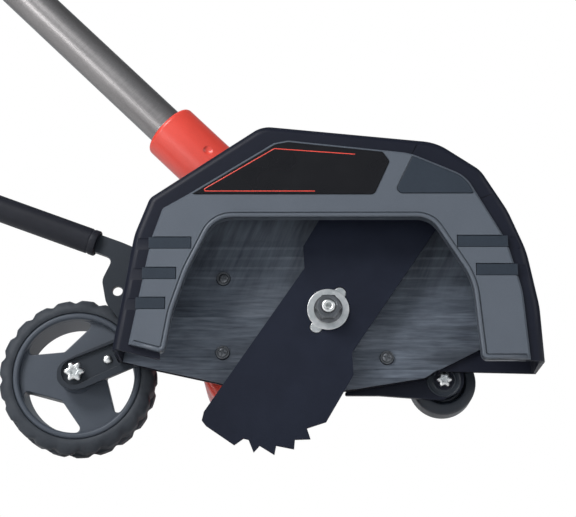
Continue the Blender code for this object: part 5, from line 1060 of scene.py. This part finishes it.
low, high = limits("tube_clamp", TUBE)
start, end = low.x, high.x
tube_high = limits("lower_tube", TUBE)[1]
seat = tube_high.z + CLEAR
profile = [(seat, start)] + near(SLEEVE_RADIUS, start, (-2, 0), (-0.6, 0.9), (0, 3))
for k in range(6):
    profile += groove(SLEEVE_RADIUS, start + 27 + k * 5, 2.6)
profile += near(SLEEVE_RADIUS, end, (0, -3), (-0.6, -0.9), (-2, 0))
profile += [(UPPER_RADIUS + CLEAR, end), (UPPER_RADIUS + CLEAR, tube_high.x + CLEAR), (seat, tube_high.x + CLEAR)]
sleeve = made("clamp_sleeve", spun(profile), ALONG)
x, z = CLAMP_PIN
for side in (1, -1):
    front, back = sorted((side * 7.0, side * 11.0))
    carve(sleeve, prism(tablet(x - 6, x + 6, -14.3, z - 5, 0, 4.5, 6), front, back), "UNION", TUBE)
drill(sleeve, CLAMP_PIN, 2.8, -20, 20, TUBE)
fitted(sleeve, "black_shell", "base", "tube_clamp", width=0.4)
low, high = limits("clamp_lever", TUBE)
top = high.z
outline = rounded([
    (x - 5, z - 5.5, 5), (x - 5, top, 5), (end - 10, top, 3), (end + 6, top - 4, 2), (end + 5, top - 10, 2),
    (x + 20, z - 2.5, 10),
], 6)
lever = made("clamp_cam_lever", prism(outline, low.y, high.y), TUBE)
drill(lever, CLAMP_PIN, 2.8, -20, 20, TUBE)
fitted(lever, "red_plastic", "tube_lever", "clamp_lever", width=1.2, segments=4)

# %% [markdown]
# The second hand holds a loop that tilts on a bolt through its bracket. The bar is swept along a rounded path,
# and a lobed knob on the bolt locks it.

# %% Loop handle
LOOP_PIVOT = middle_of("loop_bolt", TUBE)
LOOP_HOLE = 3.3
BAR_RADIUS = 8.5
LOOP_HALF_WIDTH = 71.9
LOOP_HEIGHT = 122.0

x, z = LOOP_PIVOT
low, high = limits("loop_bracket", TUBE)
inner = UPPER_RADIUS + CLEAR
ring = [(inner, low.x)] + near(-low.z, low.x, (-0.8, 0), (0, 0.8)) + near(-low.z, high.x, (0, -0.8), (-0.8, 0))
bracket = made("loop_bracket_moulding", spun(ring + [(inner, high.x)]), ALONG)
foot_of_ear = UPPER_RADIUS + 1.5
ear = rounded([(x - 11, foot_of_ear, 0), (x - 11, z + 10, 10), (x + 11, z + 10, 10), (x + 11, foot_of_ear, 0)])
carve(bracket, prism(ear, -11, 11), "UNION", TUBE)
drill(bracket, LOOP_PIVOT, LOOP_HOLE, -60, 60, TUBE)
fitted(bracket, "black_shell", "handle_tube", "loop_bracket", width=0.5)
leg = 11.0 + CLEAR + BAR_RADIUS
shoulder = z + 24.0
half, top = LOOP_HALF_WIDTH, z + LOOP_HEIGHT
path = rounded([
    (-leg, z - 11, 0), (-leg, shoulder, 14), (-half, shoulder + 14, 20), (-half + 6, top, 30),
    (half - 6, top, 30), (half, shoulder + 14, 20), (leg, shoulder, 14), (leg, z - 11, 0),
], 8)
bar = made("loop_bar", swept([(x, across, up) for across, up in path], BAR_RADIUS), TUBE)
drill(bar, LOOP_PIVOT, LOOP_HOLE, -60, 60, TUBE)
fitted(bar, "black_shell", "loop", "loop_handle", width=0.8, segments=2)
low, high = limits("loop_bolt", TUBE)
profile = near(0, low.y, (0, 0.4), (2.4, 0), (4.6, 0.3), (5.5, 1.2), (5.5, 4), (3, 4)) + [(3, high.y), (0, high.y)]
turned("loop_bolt_turned", profile, "dark_steel", "loop", "loop_bolt", middle=LOOP_PIVOT, place=TUBE, width=0)
low, high = limits("loop_knob", TUBE)
rim = polar(LOOP_PIVOT, lambda angle: 13.2 + 1.8 * math.tanh(2.4 * math.cos(6 * angle + 0.6)), turns(120))
knob = made("loop_knob_moulding", drum((rim, low.y), (rim, high.y - 3), (grown(rim, -0.8), high.y - 1),
                                       (grown(rim, -2.4), high.y)), TUBE)
drill(knob, LOOP_PIVOT, LOOP_HOLE, low.y - 3, low.y + 13, TUBE)
fitted(knob, "black_shell", "knob", "loop_knob", width=0.5)

# %% [markdown]
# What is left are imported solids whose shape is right. Those that show get a copy with rounded edges, some with marks
# carved in first: grooves across the grip, a seam, ribs and charge marks on the battery, air slots in the handle.
# The ones inside keep their own mesh. All of them take the finish of their slot.

# %% Soft-edged copies
GROOVE_PITCH = 7
RIB_STEP = 8
SLOT_STEP = 6


def grip_grooves():
    low, high = limits("soft_grip", TUBE)
    half = high.y - 0.7
    inner = tablet(-half, half, low.z + 0.7, high.z - 0.7, 4, 4)
    starts = [low.x + 8 + GROOVE_PITCH * k for k in range(int((high.x - low.x - 12) // GROOVE_PITCH))]
    return [(pierced(grown(inner, 6), [inner], start, start + 2.2), ALONG) for start in starts]


def battery_marks():
    """The battery's seam, the ribs on its sides and three charge marks beside the latch."""
    low, high = limits("battery_pack", TUBE)
    behind = limits("battery_latch", TUBE)[1].x + 5
    seam = low.z + 72
    cuts = [box((high.x - 0.6, high.x + 1), (low.y - 1, high.y + 1), (seam, seam + 1))]
    for side in (low.y, high.y):
        cuts.append(box((low.x - 1, high.x + 1), (side - 0.6, side + 0.6), (seam, seam + 1)))
        for k in range(5):
            level = low.z + 16 + RIB_STEP * k
            cuts.append(box((low.x + 10, high.x - 10), (side - 1, side + 1), (level, level + 3.5)))
    cuts += [box((behind, behind + 2.5), (y - 3, y + 3), (high.z - 0.6, high.z + 1)) for y in (-9, 0, 9)]
    return [(cut, TUBE) for cut in cuts]


def shell_slots(node):
    """Air slots in the outer side of one half of the handle, in front of the trigger."""
    low, high = limits(node, TUBE)
    side = high.y if high.y > -low.y else low.y
    starts = [limits("handle_shell_left", TUBE)[0].x + 12 + SLOT_STEP * k for k in range(4)]
    return [(box((x, x + 2.5), (side - 1, side + 1), (-9, 9)), TUBE) for x in starts]


def slot_of(solid):
    return solid.data.materials[0].name.split(".")[0]


def softened(node, width, cuts=()):
    source = frame["nodes"][node]
    bm = bmesh.new()
    bm.from_mesh(source.data)
    bmesh.ops.remove_doubles(bm, verts=bm.verts, dist=0.01 * MM)
    bmesh.ops.dissolve_limit(bm, angle_limit=math.radians(1), verts=bm.verts, edges=bm.edges)
    copy = made(f"{node}_soft", bm, Matrix(), 1.0)
    for cut, place in cuts:
        carve(copy, cut, place=place)
    fitted(copy, slot_of(source), source["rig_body"], node, width=width, segments=2)


SOFT_EDGES = {
    "inner_flange": 0.5, "gear_case": 0.8, "gear_case_lid": 0.8, "handle_shell_left": 0.5, "handle_shell_right": 0.5,
    "battery_pack": 0.6, "battery_latch": 0.3, "trigger": 0.4, "lock_button": 0.4, "soft_grip": 0.5, "roller_arm": 0.5,
    "pivot_bolt": 0.4, "clamp_pin": 0.3, "case_screw_1": 0.2, "case_screw_2": 0.2,
}
CUTS = {"soft_grip": grip_grooves(), "battery_pack": battery_marks()}
for half in ("handle_shell_left", "handle_shell_right"):
    CUTS[half] = shell_slots(half)
for node, width in SOFT_EDGES.items():
    softened(node, width, CUTS.get(node, ()))

for solid in frame["nodes"].values():
    solid.data.materials[0] = FINISHES[slot_of(solid)]
print("finished solids:", len(frame["nodes"]))

# %% [markdown]
# A white room lights the machine: a wide soft box over the camera's left, a low one beneath it, a weaker one on
# the right, and one above and behind that surfaces don't mirror, because its reflection in the tube was noisy.
# The room darkens towards the sides, which gives round parts dark borders, and the camera sees plain white behind.

# %% Studio
ROOM = ((0.01, 0.34), (0.30, 0.20), (0.50, 0.07), (0.80, 0.10), (0.92, 0.50), (0.99, 0.55))
AIM = Vector((0.1, 0.0, 0.2))
FLOOR_SIZE = 1600

mix = Recipe("studio", "worlds")
bpy.context.scene.world = mix.owner
across = mix.part(mix.node("TexCoord", output="Generated"), "Y")
room = mix.node("ValToRGB", {}, {0: mix.spread(across, -1.0, 1.0)})
stops = room.socket.node.color_ramp.elements
for place, grey in ROOM:
    stops.new(place).color = (grey, grey, grey, 1.0)
for stale in (0, -1):
    stops.remove(stops[stale])
glow = mix.node("Background", {}, {"Color": (0.86, 0.93, 1.0, 1.0), "Strength": room})
plain = mix.node("Background", {}, {"Color": (1.0, 1.0, 1.0, 1.0)})
seen = mix.node("LightPath", output="Is Camera Ray")
choose = mix.node("MixShader", {}, {0: seen, 1: glow, 2: plain})
mix.feed(mix.tree.nodes["World Output"].inputs["Surface"], choose)


def soft_box(name, at, size, watts):
    light = bpy.data.lights.new(name, "AREA")
    light.shape = "RECTANGLE"
    light.size, light.size_y = size
    light.energy = watts
    lamp = placed(name, light)
    lamp.location = at
    lamp.rotation_euler = (AIM - Vector(at)).to_track_quat("-Z", "Y").to_euler()
    return lamp


soft_box("key_soft_box", (-0.9, -1.4, 1.5), (1.1, 0.8), 34.0)
soft_box("fill_soft_box", (-1.1, -1.2, 0.15), (0.3, 0.5), 6.0)
soft_box("right_soft_box", (1.6, -0.9, 0.8), (0.8, 1.0), 5.0)
soft_box("top_soft_box", (0.1, 0.9, 2.3), (1.8, 0.8), 22.0).visible_glossy = False

mix = Recipe("floor_pale", Base_Color=(0.86, 0.86, 0.86, 1.0), Roughness=0.7)
behind = mix.node("NewGeometry", output="Backfacing")
pale = Wire(mix, mix.tree.nodes["Principled BSDF"].outputs[0])
clear = mix.node("BsdfTransparent")
choose = mix.node("MixShader", {}, {0: behind, 1: pale, 2: clear})
mix.feed(mix.tree.nodes["Material Output"].inputs["Surface"], choose)
bm = bmesh.new()
bmesh.ops.create_grid(bm, x_segments=8, y_segments=8, size=FLOOR_SIZE)
sheet = made("floor", bm, Matrix())
if any(face.normal.z < 0 for face in sheet.data.polygons):
    sheet.data.flip_normals()
sheet.data.materials.append(mix.owner)
print("studio ready")
